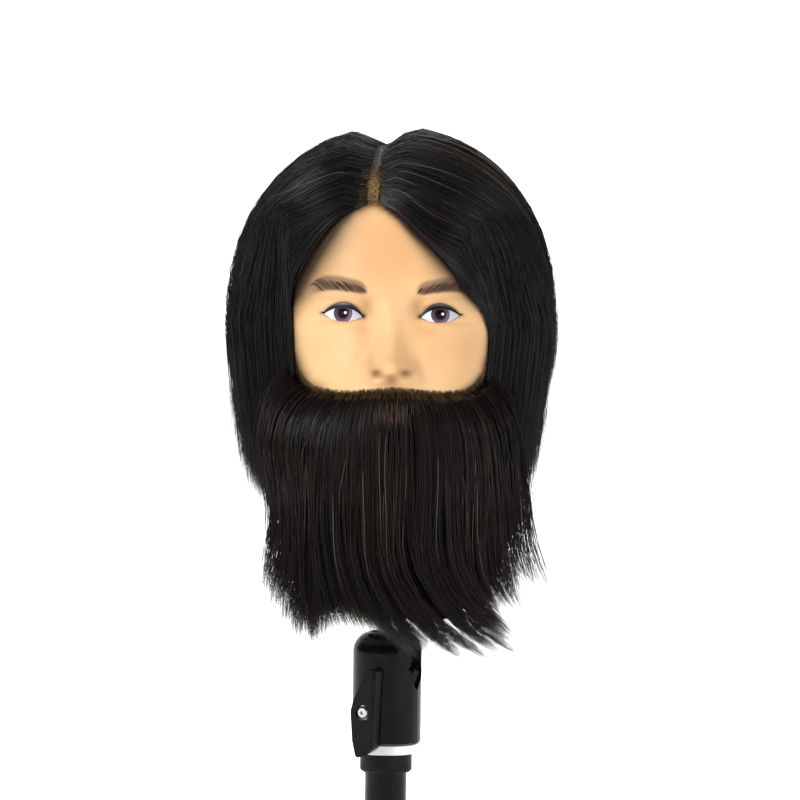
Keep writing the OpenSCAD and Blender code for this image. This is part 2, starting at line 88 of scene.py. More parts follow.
class Look:
    """A material with one Principled shader, and short ways to add texture nodes to it"""

    def __init__(self, name, colour, roughness, metallic=0.0, **inputs):
        self.material = bpy.data.materials.new(name)
        self.material.use_nodes = True
        self.tree = self.material.node_tree
        self.shader = self.tree.nodes["Principled BSDF"]
        self.set(Base_Color=(*colour, 1), Roughness=roughness, Metallic=metallic, **inputs)
        self.material.diffuse_color = (*colour, 1)

    def set(self, **inputs):
        for name, value in inputs.items():
            self.join(self.shader.inputs[name.replace("_", " ")], value)

    def join(self, socket, value):
        if isinstance(value, bpy.types.NodeSocket):
            self.tree.links.new(value, socket)
        else:
            socket.default_value = value

    def node(self, kind, values=(), **settings):
        node = self.tree.nodes.new("ShaderNode" + kind)
        for name, value in settings.items():
            setattr(node, name, value)
        for name, value in dict(values).items():
            self.join(node.inputs[name], value)
        return node

    def place(self, stretch=(1, 1, 1)):
        coords = self.node("TexCoord").outputs["Object"]
        return self.node("Mapping", {"Vector": coords, "Scale": stretch}).outputs["Vector"]

    def noise(self, scale, detail=4.0, stretch=(1, 1, 1)):
        values = {"Vector": self.place(stretch), "Scale": scale, "Detail": detail}
        return self.node("TexNoise", values).outputs["Fac"]

    def math(self, operation, first, second=0.0, third=0.0):
        values = {0: first, 1: second, 2: third}
        return self.node("Math", values, operation=operation).outputs[0]

    def length(self, first, second):
        """Length of the vector with these two parts"""
        squares = [self.math("MULTIPLY", part, part) for part in (first, second)]
        return self.math("SQRT", self.math("ADD", *squares))

    def span(self, value, low, high, from_low=0.3, from_high=0.7):
        """value, which runs between the last two numbers, brought to low and high"""
        values = {"Value": value, "From Min": from_low, "From Max": from_high,
                  "To Min": low, "To Max": high}
        return self.node("MapRange", values).outputs["Result"]

    def ramp(self, value, *stops):
        """Colour at value, from (position, colour) stops"""
        node = self.node("ValToRGB", {"Fac": value})
        elements = node.color_ramp.elements
        while len(elements) < len(stops):
            elements.new(0.5)
        for element, (position, colour) in zip(elements, stops):
            element.position = position
            element.color = (*colour, 1)
        return node.outputs["Color"]

    def mix(self, factor, first, second, blend="MIX"):
        node = self.node("Mix", data_type="RGBA", blend_type=blend)
        for socket, value in zip((node.inputs[0], node.inputs[6], node.inputs[7]),
                                 (factor, first, second)):
            self.join(socket, value)
        return node.outputs[2]

    def bump(self, height, strength, distance=0.0002):
        values = {"Height": height, "Strength": strength, "Distance": distance}
        self.set(Normal=self.node("Bump", values).outputs["Normal"])


def moulded(name, colour, roughness, grain, depth, gloss):
    """Moulded plastic or rubber: fine grain, uneven gloss and a slight change of tone"""
    look = Look(name, colour, roughness, Specular_IOR_Level=gloss)
    cloud = look.noise(55, 5)
    light = tuple(min(1, c * 1.35 + 0.002) for c in colour)
    dark = tuple(c * 0.75 for c in colour)
    look.set(Base_Color=look.ramp(cloud, (0.3, dark), (0.7, light)),
             Roughness=look.span(look.noise(140, 6), roughness - 0.06, roughness + 0.08))
    look.bump(look.noise(grain, 3), depth)
    return look.material


def metal(name, colour, roughness, stretch, scale, depth):
    """Plated or turned metal, brushed along the axes with the smaller stretch"""
    look = Look(name, colour, roughness, 1.0)
    lines = look.noise(scale, 5, stretch)
    stain = look.noise(60, 4)
    dark = tuple(c * 0.72 for c in colour)
    look.set(Base_Color=look.ramp(stain, (0.32, dark), (0.6, colour)),
             Roughness=look.span(lines, roughness - 0.08, roughness + 0.12))
    look.bump(lines, depth, 0.0001)
    return look.material


def painted(name, roughness, grain, depth, **inputs):
    """Surface that takes its colour from the mesh's paint attribute"""
    look = Look(name, (0.8, 0.6, 0.4), roughness, **inputs)
    paint = look.node("Attribute", attribute_name="paint").outputs["Color"]
    cloud = look.ramp(look.noise(38, 6), (0.3, (0.955, 0.94, 0.93)), (0.7, (1, 1, 1)))
    look.set(Base_Color=look.mix(1.0, paint, cloud, "MULTIPLY"),
             Roughness=look.span(look.noise(90, 5), roughness - 0.05, roughness + 0.07))
    look.bump(look.noise(grain, 4), depth)
    return look.material


def fibre_mass(name, dark, light):
    """Hair seen as a mass: fine streaks that run down"""
    dark, light = rgb(*dark), rgb(*light)
    look = Look(name, dark, 0.55, Specular_IOR_Level=0.15)
    streaks = look.noise(420, 6, (1, 1, 0.06))
    look.set(Base_Color=look.ramp(streaks, (0.35, dark), (0.7, light)),
             Roughness=look.span(streaks, 0.6, 0.8))
    look.bump(streaks, 0.8, 0.0006)
    return look.material


def fibre(name, colour, roughness=0.34):
    """One tone of hair strand: each strand is a mesh of its own"""
    return Look(name, rgb(*colour), roughness, Specular_IOR_Level=0.3).material


# ---------------------------------------------------------------- meshes


def outward(points, faces):
    """The faces, turned round if they enclose their volume inside out"""
    a, b, c = (points[faces[:, i]] for i in range(3))
    d = points[faces[:, -1]]
    volume = np.einsum("ij,ij->", a, np.cross(b, c)) + np.einsum("ij,ij->", a, np.cross(c, d))
    return faces if volume > 0 else faces[:, ::-1]


def add_piece(name, points, faces, looks, tones=None, paint=None, replaces=(), body="head"):
    """A mesh piece that rides on a body. points are in millimetres, paint in linear RGB"""
    points, faces = np.asarray(points, float), np.asarray(faces, np.int32)
    mesh = bpy.data.meshes.new(name)
    count, sides = faces.shape
    mesh.vertices.add(len(points))
    mesh.vertices.foreach_set("co", (points * MM).astype(np.float32).ravel())
    mesh.loops.add(count * sides)
    mesh.loops.foreach_set("vertex_index", faces.ravel())
    mesh.polygons.add(count)
    mesh.polygons.foreach_set("loop_start", np.arange(0, count * sides, sides, dtype=np.int32))
    mesh.polygons.foreach_set("use_smooth", np.ones(count, bool))
    for look in looks:
        mesh.materials.append(look)
    if tones is not None:
        mesh.polygons.foreach_set("material_index", np.asarray(tones, np.int32))
    if paint is not None:
        layer = mesh.color_attributes.new("paint", "FLOAT_COLOR", "POINT")
        layer.data.foreach_set("color", np.c_[paint, np.ones(len(paint))].astype(np.float32).ravel())
    mesh.update(calc_edges=True)
    piece = bpy.data.objects.new(name, mesh)
    bpy.context.scene.collection.objects.link(piece)
    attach(piece, body)
    if replaces:
        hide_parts(*replaces)
    return piece


def grid_quads(rows, cols, wrap=False):
    """Faces of a grid of points; wrap joins the last column to the first"""
    index = np.arange(rows * cols).reshape(rows, cols)
    if wrap:
        index = np.c_[index, index[:, 0]]
    return np.stack([index[:-1, :-1], index[:-1, 1:], index[1:, 1:], index[1:, :-1]], -1).reshape(-1, 4)


def slab(outer, inner):
    """Closed mesh between two grids of points"""
    rows, cols = outer.shape[:2]
    index = np.arange(rows * cols).reshape(rows, cols)
    rim = np.concatenate([index[0, :-1], index[:-1, -1], index[-1, :0:-1], index[:0:-1, 0]])
    following = np.roll(rim, -1)
    count = rows * cols
    top = grid_quads(rows, cols)
    sides = np.stack([following, rim, rim + count, following + count], -1)
    points = np.concatenate([outer.reshape(-1, 3), inner.reshape(-1, 3)])
    faces = np.concatenate([top, top[:, ::-1] + count, sides])
    return points, outward(points, faces)


def stack(rings, first, last):
    """Closed mesh of rings of points, with one more point that closes each end"""
    rows, cols = rings.shape[:2]
    quads = grid_quads(rows, cols, wrap=True)
    step = np.arange(cols)
    following = (step + 1) % cols
    end = (rows - 1) * cols
    caps = np.concatenate([np.stack([0 * step + rows * cols, following, step], -1),
                           np.stack([0 * step + rows * cols + 1, end + step, end + following], -1)])
    points = np.concatenate([rings.reshape(-1, 3), [first, last]])
    return points, outward(points, np.concatenate([quads[:, [0, 1, 2]], quads[:, [0, 2, 3]], caps]))


# ---------------------------------------------------------------- head form

# Half width, front and back of the head at heights below eye level
HEAD_H = [-175, -155, -130, -115, -106, -97, -87, -71, -57, -45, -29, -13, 0]
HEAD_SIDE = [52, 50, 50, 51, 53, 56, 59, 63, 66, 68, 70, 71, 72]
HEAD_FRONT = [44, 42, 44, 56, 76, 88, 90, 89, 92, 90, 88, 86, 86]
HEAD_BACK = [60, 58, 58, 59, 60, 62, 65, 71, 77, 83, 90, 94, 96]
SKULL = dict(a=72, f=86, b=96, up=HEAD_UP, power=2.6)
SKIN_THICKNESS = 4.5
INNER_UP = HEAD_UP - SKIN_THICKNESS
FLOOR_THICKNESS = 6
FACE_CROWDING = 0.55  # how much closer the skin's columns of points are at the front
HOLE_SHARE = 24.05 / 36  # radius of the hole in the neck's floor, as a share of the socket's
EYE_X, EYE_H = 28, -0.4


def curl(value, power):
    return np.sign(value) * np.abs(value) ** power


def section(a, f, b, azimuth):
    """Point in plan of a head-like cross-section"""
    angle = np.radians(azimuth)
    along = curl(np.cos(angle), SECTION_POWER)
    return a * curl(np.sin(angle), SECTION_POWER), -np.where(along > 0, f, b) * along


def plan(form, azimuth):
    """Point in plan of a form's widest cross-section"""
    return section(form["a"], form["f"], form["b"], azimuth)


def dome_share(rise, power):
    """Share of the widest section that is left at a height, rise of 1 being the top"""
    return np.clip(1 - np.clip(rise, 0, 1) ** power, 0, 1) ** (1 / power)


def dome_h(x, y, a, f, b, up, power):
    """Height of a dome over a point in plan"""
    reach = ((np.abs(x) / a) ** SECTION_ROUND
             + (np.abs(y) / np.where(y < 0, f, b)) ** SECTION_ROUND) ** (1 / SECTION_ROUND)
    return up * dome_share(reach, power)


def head_size(h):
    """Half width, front and back of the skin at a height"""
    share = np.where(h > 0, dome_share(h / HEAD_UP, SKULL["power"]), 1)
    return [smooth(h, HEAD_H, column) * share for column in (HEAD_SIDE, HEAD_FRONT, HEAD_BACK)]


# Hills and hollows of the face: how far they stand out, whether they are on both sides of the
# nose, the place of the middle in front view, and the size
FEATURES = [
    (5.2, True, 12.2, -34.0, 5.0, 5.4),
    (-2.6, True, 7.6, -37.6, 3.0, 2.0),
    (-1.2, True, 17.5, -30.0, 3.2, 7.0),
    (-3.6, True, 27.0, 2.5, 15.0, 9.5),
    (-2.6, True, 15.0, 0.5, 5.0, 8.0),
    (3.4, True, EYE_X, EYE_H, 11.5, 6.0),
    (1.2, True, EYE_X + 2, 8.2, 13.0, 3.0),
    (1.5, True, 27.0, 19.0, 17.0, 6.0),
    (2.2, True, 37.0, -27.0, 16.0, 15.0),
    (2.4, False, 0, -53.5, 17.0, 3.6),
    (2.8, False, 0, -61.5, 14.0, 4.0),
    (-1.4, False, 0, -57.3, 19.0, 1.6),
    (-0.9, False, 0, -47.5, 2.6, 4.0),
    (3.2, False, 0, -84, 15.0, 10.0),
    (-1.6, False, 0, -71, 14.0, 5.0),
]
# Ridge of the nose: how far it stands out and its half width at heights
NOSE_H = [-46, -42.5, -39, -35, -31, -24, -14, -4, 6, 16]
NOSE_OUT = [0, 2.0, 9.0, 14.6, 15.2, 11.5, 7.2, 4.0, 1.8, 0]
NOSE_HALF_H = [-46, -36, -28, -14, 4, 16]
NOSE_HALF = [9.5, 9.5, 8.2, 6.6, 7.5, 12]


def relief(x, h):
    """How far the features of the face stand out of the plain head form"""
    side = np.abs(x)
    half = smooth(h, NOSE_HALF_H, NOSE_HALF)
    out = smooth(h, NOSE_H, NOSE_OUT) * np.exp(-np.abs(x / half) ** 2.2)
    for amount, both, *spot in FEATURES:
        out = out + amount * blob(side if both else x, h, *spot)
    return out


def skin_y(x, h):
    """Distance of the face in front of the middle, as a negative y"""
    a, f, _ = head_size(h)
    plain = -f * np.clip(1 - (np.abs(x) / a) ** SECTION_ROUND, 0, 1) ** (1 / SECTION_ROUND)
    return plain - relief(x, h)


def on_face(x, h, off=0.0):
    """Points in front of the face, off millimetres clear of it"""
    x, h = np.broadcast_arrays(np.asarray(x, float), np.asarray(h, float))
    return np.stack([x, skin_y(x, h) - off, EYE_Z + h], -1)


# Edge of the hair and beard round the face in front view, from the parting to the beard
LEFT_H = [64, 59, 51.5, 41.5, 31.5, 22.5, 15, 9, 4.5, -8, -21.5, -34, -42, -46]
LEFT_X = [-12, -23, -32, -39.5, -46, -51, -55, -58, -60, -61, -58.3, -54, -49.3, -42.3]
RIGHT_H = [64, 60, 54, 46, 38.5, 30.5, 22.5, 15, 7.5, 2.2, -7.6, -22, -33, -40.5, -45]
RIGHT_X = [-12, -4, 4, 12, 20, 28, 36, 44, 53, 57.2, 57.9, 56.5, 53.9, 48.3, 42]
BEARD_LINE_X = [-57.5, -54.8, -51, -45.7, -37, -25, 0, 25, 37.6, 46, 52, 56, 58]
BEARD_LINE_H = [-16, -27, -35.6, -41.4, -44, -45, -43, -44.5, -44, -41.4, -35.6, -27, -16]
BROW_X = [13.6, 17, 24, 33, 41, 46, 50]
BROW_TOP = [14.4, 17.4, 19.6, 21.4, 20.8, 17.6, 12.4]
BROW_FOOT = [10.6, 10.6, 11.6, 12.6, 12.2, 11.0, 9.6]
# Eye opening, from the inner corner to the outer one
EYE_IN, EYE_OUT = (17.0, -2.3), (39.2, -0.7)


def distance_to(x, h, line_x, line_h):
    """Distance in front view from points to a line of straight steps"""
    nearest = np.full(np.shape(x), 1e9)
    for i in range(len(line_x) - 1):
        start = np.array([line_x[i], line_h[i]], float)
        step = np.array([line_x[i + 1], line_h[i + 1]], float) - start
        share = np.clip(((x - start[0]) * step[0] + (h - start[1]) * step[1]) / (step @ step), 0, 1)
        nearest = np.minimum(nearest, np.hypot(x - start[0] - share * step[0],
                                               h - start[1] - share * step[1]))
    return nearest


def lid(x, upper):
    """Height of an eyelid's edge at a distance from the middle of the face"""
    s = np.clip((x - EYE_IN[0]) / (EYE_OUT[0] - EYE_IN[0]), 0, 1)
    chord = EYE_IN[1] + (EYE_OUT[1] - EYE_IN[1]) * s
    if upper:
        return chord + 4.7 * np.sin(math.pi * s ** 0.92) ** 0.8
    return chord - 3.1 * np.sin(math.pi * s ** 1.05) ** 0.8


SKIN = rgb(253, 207, 152)
# Dark of the scalp under the hair, and of the hair's painted shadow on the face
SCALP_AND_HAIR_SHADOW = rgb(46, 33, 24)
# Airbrushed tones of the face, nearly all of them painted shade: in the eyes' corners, folds and
# creases, in the nostrils, under and beside the nose, over the forehead under the hair, and on the
# right cheek away from the light. The last, the lips' red, is the face's own colour. Columns: strength,
# whether it is on both sides of the nose, the place of the middle in front view, the size and the
# colour
AIRBRUSH_AND_PAINTED_SHADE = [
    # painted shade on the right cheek, the side away from the light
    (0.45, False, 36, -22, 19, 19, (244, 182, 126)),
    # painted shade over the forehead, under the hair
    (0.75, False, -4, 34, 34, 24, (236, 178, 124)),
    # painted shade in the inner corners of the eyes
    (0.55, True, 15.0, 3.6, 4.6, 6.5, (160, 112, 68)),
    # painted shade in the fold under each eye
    (0.30, True, 20.0, -10.0, 7.5, 3.0, (214, 156, 102)),
    # painted shade down both sides of the nose
    (0.22, True, 12.0, -18.0, 3.6, 13.0, (226, 170, 118)),
    # painted shade in the crease above each eye
    (0.30, True, EYE_X, 8.6, 13.0, 2.2, (196, 140, 92)),
    # painted shade just under each eye
    (0.35, True, EYE_X + 3, -5.6, 11.0, 1.3, (196, 132, 96)),
    # painted shade in the nostrils
    (0.95, True, 8.4, -34.6, 3.9, 2.1, (132, 82, 44)),
    # painted shade under the tip of the nose
    (0.8, False, 0.4, -38.0, 3.6, 3.0, (176, 116, 70)),
    # painted shade under the nose, between the nostrils
    (0.30, False, 0, -36.6, 11.0, 1.8, (196, 140, 92)),
    # painted shade down the left side of the nose
    (0.32, False, -16.5, -14, 4.0, 13.0, (222, 168, 116)),
    # the lips' own red
    (0.8, False, 0, -57.5, 18, 5.5, (205, 118, 92)),
]


def skin_paint(x, y, h):
    """Airbrushed colour of the skin at each point, with painted shade in the face's hollows and
    creases, under and beside the nose, and the hair's painted shadow along the hairline
    """
    side = np.abs(x)
    colour = np.tile(np.array(SKIN), (len(x), 1))
    front = ease(-y, 0, 25)

    def spray(weight, tone, where=front):
        nonlocal colour
        share = (np.clip(weight, 0, 1) * where)[:, None]
        colour = colour * (1 - share) + np.array(tone) * share

    for strength, both, *spot, tone in AIRBRUSH_AND_PAINTED_SHADE:
        spray(strength * blob(side if both else x, h, *spot), rgb(*tone))

    above_lid = h - lid(side, True) - 3.0 + 1.2 * (side - EYE_IN[0]) / (EYE_OUT[0] - EYE_IN[0])
    on_lid = (ease(side, EYE_IN[0] - 2, EYE_IN[0] + 3)
              * (1 - ease(side, EYE_OUT[0] - 3, EYE_OUT[0] + 2)))
    spray(0.5 * np.exp(-(above_lid / 1.5) ** 2) * on_lid, rgb(120, 86, 62))
    spray(0.85 * blob(side, h, EYE_IN[0] - 0.6, EYE_IN[1] + 0.6, 1.9, 1.7), rgb(52, 38, 32))
    spray(0.55 * blob(side, h, EYE_OUT[0] + 0.8, EYE_OUT[1] + 0.5, 2.2, 1.3), rgb(70, 50, 42))

    top, foot = smooth(side, BROW_X, BROW_TOP), smooth(side, BROW_X, BROW_FOOT)
    inside = np.minimum(top - h, h - foot)
    across = ease(side, 12.6, 17.0) * (1 - ease(side, 41.0, 50.0))
    strokes = 0.5 + 0.5 * np.sin(3.4 * (side - 0.55 * h))
    spray((0.62 + 0.3 * strokes) * ease(inside, -1.2, 1.4) * across, rgb(124, 95, 82))

    left = smooth(-h, -np.array(LEFT_H), LEFT_X)
    right = smooth(-h, -np.array(RIGHT_H), RIGHT_X)
    line = smooth(x, BEARD_LINE_X, BEARD_LINE_H)
    covered = (x < left) | (x > right) | (h > LEFT_H[0])
    # Painted shadow of the hair on the face: darkest at the hair's edge and a little way in from it
    # along the temples, fading over hair_shadow_width_left or hair_shadow_width_right millimetres.
    # Where the hair covers the skin, the dark scalp
    temple = ease(h, 0, 12) * (1 - ease(h, 46, 62))
    near_left = np.maximum(distance_to(x, h, LEFT_X, LEFT_H) - 1.6 * temple, 0)
    near_right = np.maximum(distance_to(x, h, RIGHT_X, RIGHT_H) - 0.8 * temple, 0)
    hair_shadow_width_left = 2.6 + 6.2 * ease(-h, -62, -34) * (1 - 0.7 * ease(-h, -10, 8))
    hair_shadow_width_right = 2.0 + 4.0 * ease(x, 0, 30) * ease(h, -8, 6)
    spray(np.where(covered, 1, 0.975 * np.exp(-(near_left / hair_shadow_width_left) ** 1.5)), SCALP_AND_HAIR_SHADOW)
    spray(np.where(covered, 1, 0.95 * np.exp(-(near_right / hair_shadow_width_right) ** 1.3)), SCALP_AND_HAIR_SHADOW)
    spray(np.where(h > 62, 0.9 * blob(x, h, -10, 72, 6.5, 9), 0), rgb(160, 130, 88))
    spray(0.8 * ease(line - h, -0.8, 2.0), rgb(112, 84, 48))
    spray(ease(line - h, 1.0, 5.5), rgb(38, 28, 20))
    under_the_hair = ease(h, 8, 30) * ease(y, -45, -20)
    spray(under_the_hair, SCALP_AND_HAIR_SHADOW, 1)
    below_the_chin = ease(-h, 100, 116)
    spray(below_the_chin, SKIN, 1)
    return colour


def outer_skin(azimuth, low):
    """Rings of points over the outside of the head, crowded where the features are"""
    rise = HEAD_UP * np.sin(np.linspace(math.radians(26), math.radians(89.2), 42))
    heights = np.concatenate([np.linspace(low, -120, 14), np.linspace(-117, -48, 34),
                              np.linspace(-47.4, 45, 144), rise])
    h, az = heights[:, None], azimuth[None, :]
    x, y = section(*head_size(h), az)
    y = y - relief(x, h) * ease(np.cos(np.radians(az)), 0.15, 0.45)
    return np.stack([x, y, EYE_Z + h + 0 * x], -1)


def inner_skin(azimuth, floor_top):
    """Rings of points over the inside of the hollow head, from the neck's floor up"""
    rise = INNER_UP * np.sin(np.radians([15, 30, 45, 58, 70, 80, 88]))
    h = np.concatenate([[floor_top], np.linspace(-150, 0, 12), rise])
    share = np.where(h > 0, dome_share(h / INNER_UP, SKULL["power"]), 1)[:, None]
    sizes = [(smooth(h, HEAD_H, column)[:, None] - SKIN_THICKNESS) * share
             for column in (HEAD_SIDE, HEAD_FRONT, HEAD_BACK)]
    x, y = section(*sizes, azimuth[None, :])
    return np.stack([x, y, EYE_Z + h[:, None] + 0 * x], -1)


def make_skin():
    """Hollow vinyl head: outer skin, neck floor with the socket's hole, and inner skin"""
    turn = np.linspace(-1, 1, 360, endpoint=False)
    azimuth = np.degrees(math.pi * turn - FACE_CROWDING * np.sin(math.pi * turn))
    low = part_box("head_skin")[0].z / MM - EYE_Z
    floor_top = low + FLOOR_THICKNESS
    hole_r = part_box("neck_socket")[1].x / MM * HOLE_SHARE
    angle = np.radians(azimuth)
    hole = [np.stack([hole_r * np.sin(angle), -hole_r * np.cos(angle), 0 * angle + EYE_Z + h], -1)
            for h in (low, floor_top)]
    rings = np.concatenate([outer_skin(azimuth, low)[::-1], np.array(hole),
                            inner_skin(azimuth, floor_top)])
    points, faces = stack(rings, [0, 0, EYE_Z + HEAD_UP], [0, 0, EYE_Z + INNER_UP])
    paint = skin_paint(points[:, 0], points[:, 1], points[:, 2] - EYE_Z)
    look = painted("skin_vinyl", 0.44, 1500, 0.06, Subsurface_Weight=0.12,
                   Subsurface_Radius=(0.004, 0.0018, 0.0009), Subsurface_Scale=1.0,
                   Specular_IOR_Level=0.22)
    add_piece("head_vinyl", points, faces, [look], paint=paint,
              replaces=["head_skin"])


# ---------------------------------------------------------------- eyes


def face_patch(side, outer, inner):
    """Closed mesh between two sheets of points, on one side of the face"""
    mirror = np.array([side, 1, 1])
    return slab(outer * mirror, inner * mirror)


def across_tones(share, stops, tones, strength):
    """Paint for both sheets of a patch whose colour changes from its foot to its top. strength
    is a factor for each of its columns"""
    colour = np.stack([np.interp(share[:, 0], stops, tones[:, i]) for i in range(3)], -1)
    colour = colour[:, None, :] * strength[None, :, None]
    return np.concatenate([colour.reshape(-1, 3)] * 2)


def eye_look():
    """Painted eye with its iris round the piece's own origin. Painted shade darkens the iris at its top
    under the lid and on its -X side, and greys the white towards +X
    """
    look = Look("eye_paint", (0.9, 0.9, 0.9), 0.4, Specular_IOR_Level=0.08)
    coords = look.node("TexCoord").outputs["Object"]
    parts = look.node("SeparateXYZ", {"Vector": coords}).outputs
    x, z = parts["X"], parts["Z"]
    radius = look.length(x, z)
    angle = look.math("ARCTAN2", z, x)
    spokes = look.node("CombineXYZ", {"X": look.math("MULTIPLY", angle, 2.2),
                                      "Y": look.math("MULTIPLY", radius, 60.0)}).outputs[0]
    rays = look.node("TexNoise", {"Vector": spokes, "Scale": 5.0, "Detail": 5.0}).outputs["Fac"]
    share = look.math("DIVIDE", radius, 0.0075)
    iris = look.ramp(share, (0.0, rgb(10, 6, 10)), (0.33, rgb(12, 7, 12)), (0.4, rgb(76, 54, 68)),
                     (0.5, rgb(118, 98, 118)), (0.63, rgb(150, 134, 160)),
                     (0.69, rgb(92, 78, 94)), (0.72, rgb(118, 110, 128)))
    rayed = look.mix(look.span(rays, 0.0, 0.4), iris, (*rgb(58, 42, 54), 1), "DARKEN")
    # painted shadow of the upper lid: the iris darker towards its top
    upwards = look.span(z, 0.0, 0.6, -0.001, 0.004)
    shaded = look.mix(upwards, rayed, (*rgb(40, 28, 38), 1), "DARKEN")
    # painted shade: the iris darker towards -X
    across = look.span(x, 0.62, 0.0, -0.004, 0.005)
    shaded = look.mix(across, shaded, (*rgb(58, 38, 50), 1), "DARKEN")
    # painted shade: the white greyer and bluer towards +X
    sclera_shade = look.span(x, 0.0, 1.0, -0.006, 0.006)
    white = look.mix(sclera_shade, (*rgb(250, 250, 252), 1), (*rgb(206, 210, 224), 1))
    veins = look.mix(look.span(look.noise(700, 6), 0.0, 0.12), white, (*rgb(214, 196, 204), 1))
    in_iris = look.span(share, 0.0, 1.0, 0.74, 0.71)
    look.set(Base_Color=look.mix(in_iris, veins, shaded), Roughness=look.span(rays, 0.36, 0.46))
    return look.material


def make_eye(side, word, look):
    """One eye: an almond patch that bulges out of the socket. side is -1 or 1"""
    cols, rows = 72, 26
    x = np.linspace(EYE_IN[0] - 0.8, EYE_OUT[0] + 0.8, cols)
    share = np.linspace(0, 1, rows)[:, None]
    lower, upper = lid(x, False) - 0.5, lid(x, True) + 0.9
    h = lower + (upper - lower) * share
    bulge = 1.1 * np.clip(1 - ((x - EYE_X) / 11.5) ** 2, 0, 1) * (1 - (2 * share - 1) ** 2 * 0.55)
    outer = on_face(x + 0 * h, h, 0.12) - np.stack([0 * h, bulge, 0 * h], -1)
    inner = on_face(x + 0 * h, h, -1.2)
    middle = np.array([side * EYE_X, 0, EYE_Z + EYE_H])
    points, faces = face_patch(side, outer, inner)
    piece = add_piece("eye_" + word, points - middle, faces, [look])
    piece.location = Vector(middle * MM)


# Radii of the catch light's rings and how far each is in front of the first
DOT_RADII = np.array([0.78, 0.78, 0.68, 0.4])
DOT_FRONT = np.array([-0.9, 0.0, 0.16, 0.22])
DOT_ACROSS, DOT_UP = 1.4, 0.3


def make_highlight(side, word, look):
    """Painted catch light: a small domed dot over the pupil"""
    ring = np.linspace(0, TURN, 20, endpoint=False)
    middle_x, middle_h = side * EYE_X + DOT_ACROSS, EYE_H + DOT_UP
    x = middle_x + DOT_RADII[:, None] * np.cos(ring)
    h = middle_h + DOT_RADII[:, None] * np.sin(ring)
    y = on_face(middle_x, middle_h, 1.85)[1] - DOT_FRONT[:, None] + 0 * x
    rings = np.stack([x, y, EYE_Z + h], -1)
    points, faces = stack(rings, *rings[[0, -1]].mean(axis=1))
    add_piece("catch_light_" + word, points, faces, [look])


LASH_X = [15.4, 40.9]


def make_lashes(side, word, look):
    """Painted lid band: a dark inner edge, a paler stripe and a dark outer line"""
    cols, rows = 90, 15
    r = np.linspace(0, 1, cols)
    x = LASH_X[0] + (LASH_X[1] - LASH_X[0]) * r
    ends = np.interp(x, [LASH_X[0], EYE_IN[0], EYE_OUT[0], LASH_X[1]],
                     [-2.4, EYE_IN[1], EYE_OUT[1], 0.1])
    inside = (x > EYE_IN[0]) & (x < EYE_OUT[0])
    foot = np.where(inside, lid(x, True), ends) - 0.15
    thick = 3.3 * (1.15 - 0.35 * r) * np.sin(math.pi * np.clip(r, 0.004, 0.996)) ** 0.45
    share = np.linspace(0, 1, rows)[:, None]
    h = foot + thick * share
    lift = 0.45 + 0.75 * (1 - share) * np.sin(math.pi * r) ** 0.5
    outer = on_face(x + 0 * h, h) - np.stack([0 * h, lift + 0 * h, 0 * h], -1)
    inner = on_face(x + 0 * h, h, -0.8)
    tones = np.array([rgb(16, 11, 15), rgb(24, 18, 22), rgb(66, 59, 58), rgb(88, 81, 76),
                      rgb(44, 35, 33), rgb(56, 42, 36), rgb(120, 88, 66)])
    wing = np.clip((r - 0.05) / 0.12, 0, 1) * np.clip((0.97 - r) / 0.1, 0, 1)
    stops = [0, 0.44, 0.6, 0.74, 0.88, 0.97, 1.0]
    points, faces = face_patch(side, outer, inner)
    add_piece("lid_band_" + word, points, faces, [look],
              paint=across_tones(share, stops, tones, 0.45 + 0.55 * wing))


def make_lower_lid(side, word, look):
    """Thin painted line under the eye"""
    cols, rows = 60, 5
    x = np.linspace(EYE_IN[0] - 0.3, EYE_OUT[0] + 0.5, cols)
    share = np.linspace(0, 1, rows)[:, None]
    h = lid(x, False) - 0.85 + 0.8 * share
    outer, inner = on_face(x + 0 * h, h, 0.42), on_face(x + 0 * h, h, -0.5)
    tones = np.array([rgb(214, 158, 118), rgb(150, 98, 82), rgb(176, 140, 132)])
    points, faces = face_patch(side, outer, inner)
    add_piece("lower_lid_" + word, points, faces, [look],
              paint=across_tones(share, [0, 0.6, 1], tones, np.ones(cols)))


# ---------------------------------------------------------------- strands

STRAND_LIMIT = 2400  # strands in one piece
STRAND_SIDES = 3
TONE_SHARES = (0.42, 0.3, 0.2, 0.08)  # from the darkest look to the lightest
ROOT_CROWDING = 1.45  # how much closer a strand's points are at its root


def root_to_tip(steps):
    """Row of even shares of a strand's length"""
    return np.linspace(0, 1, steps)[None, :]


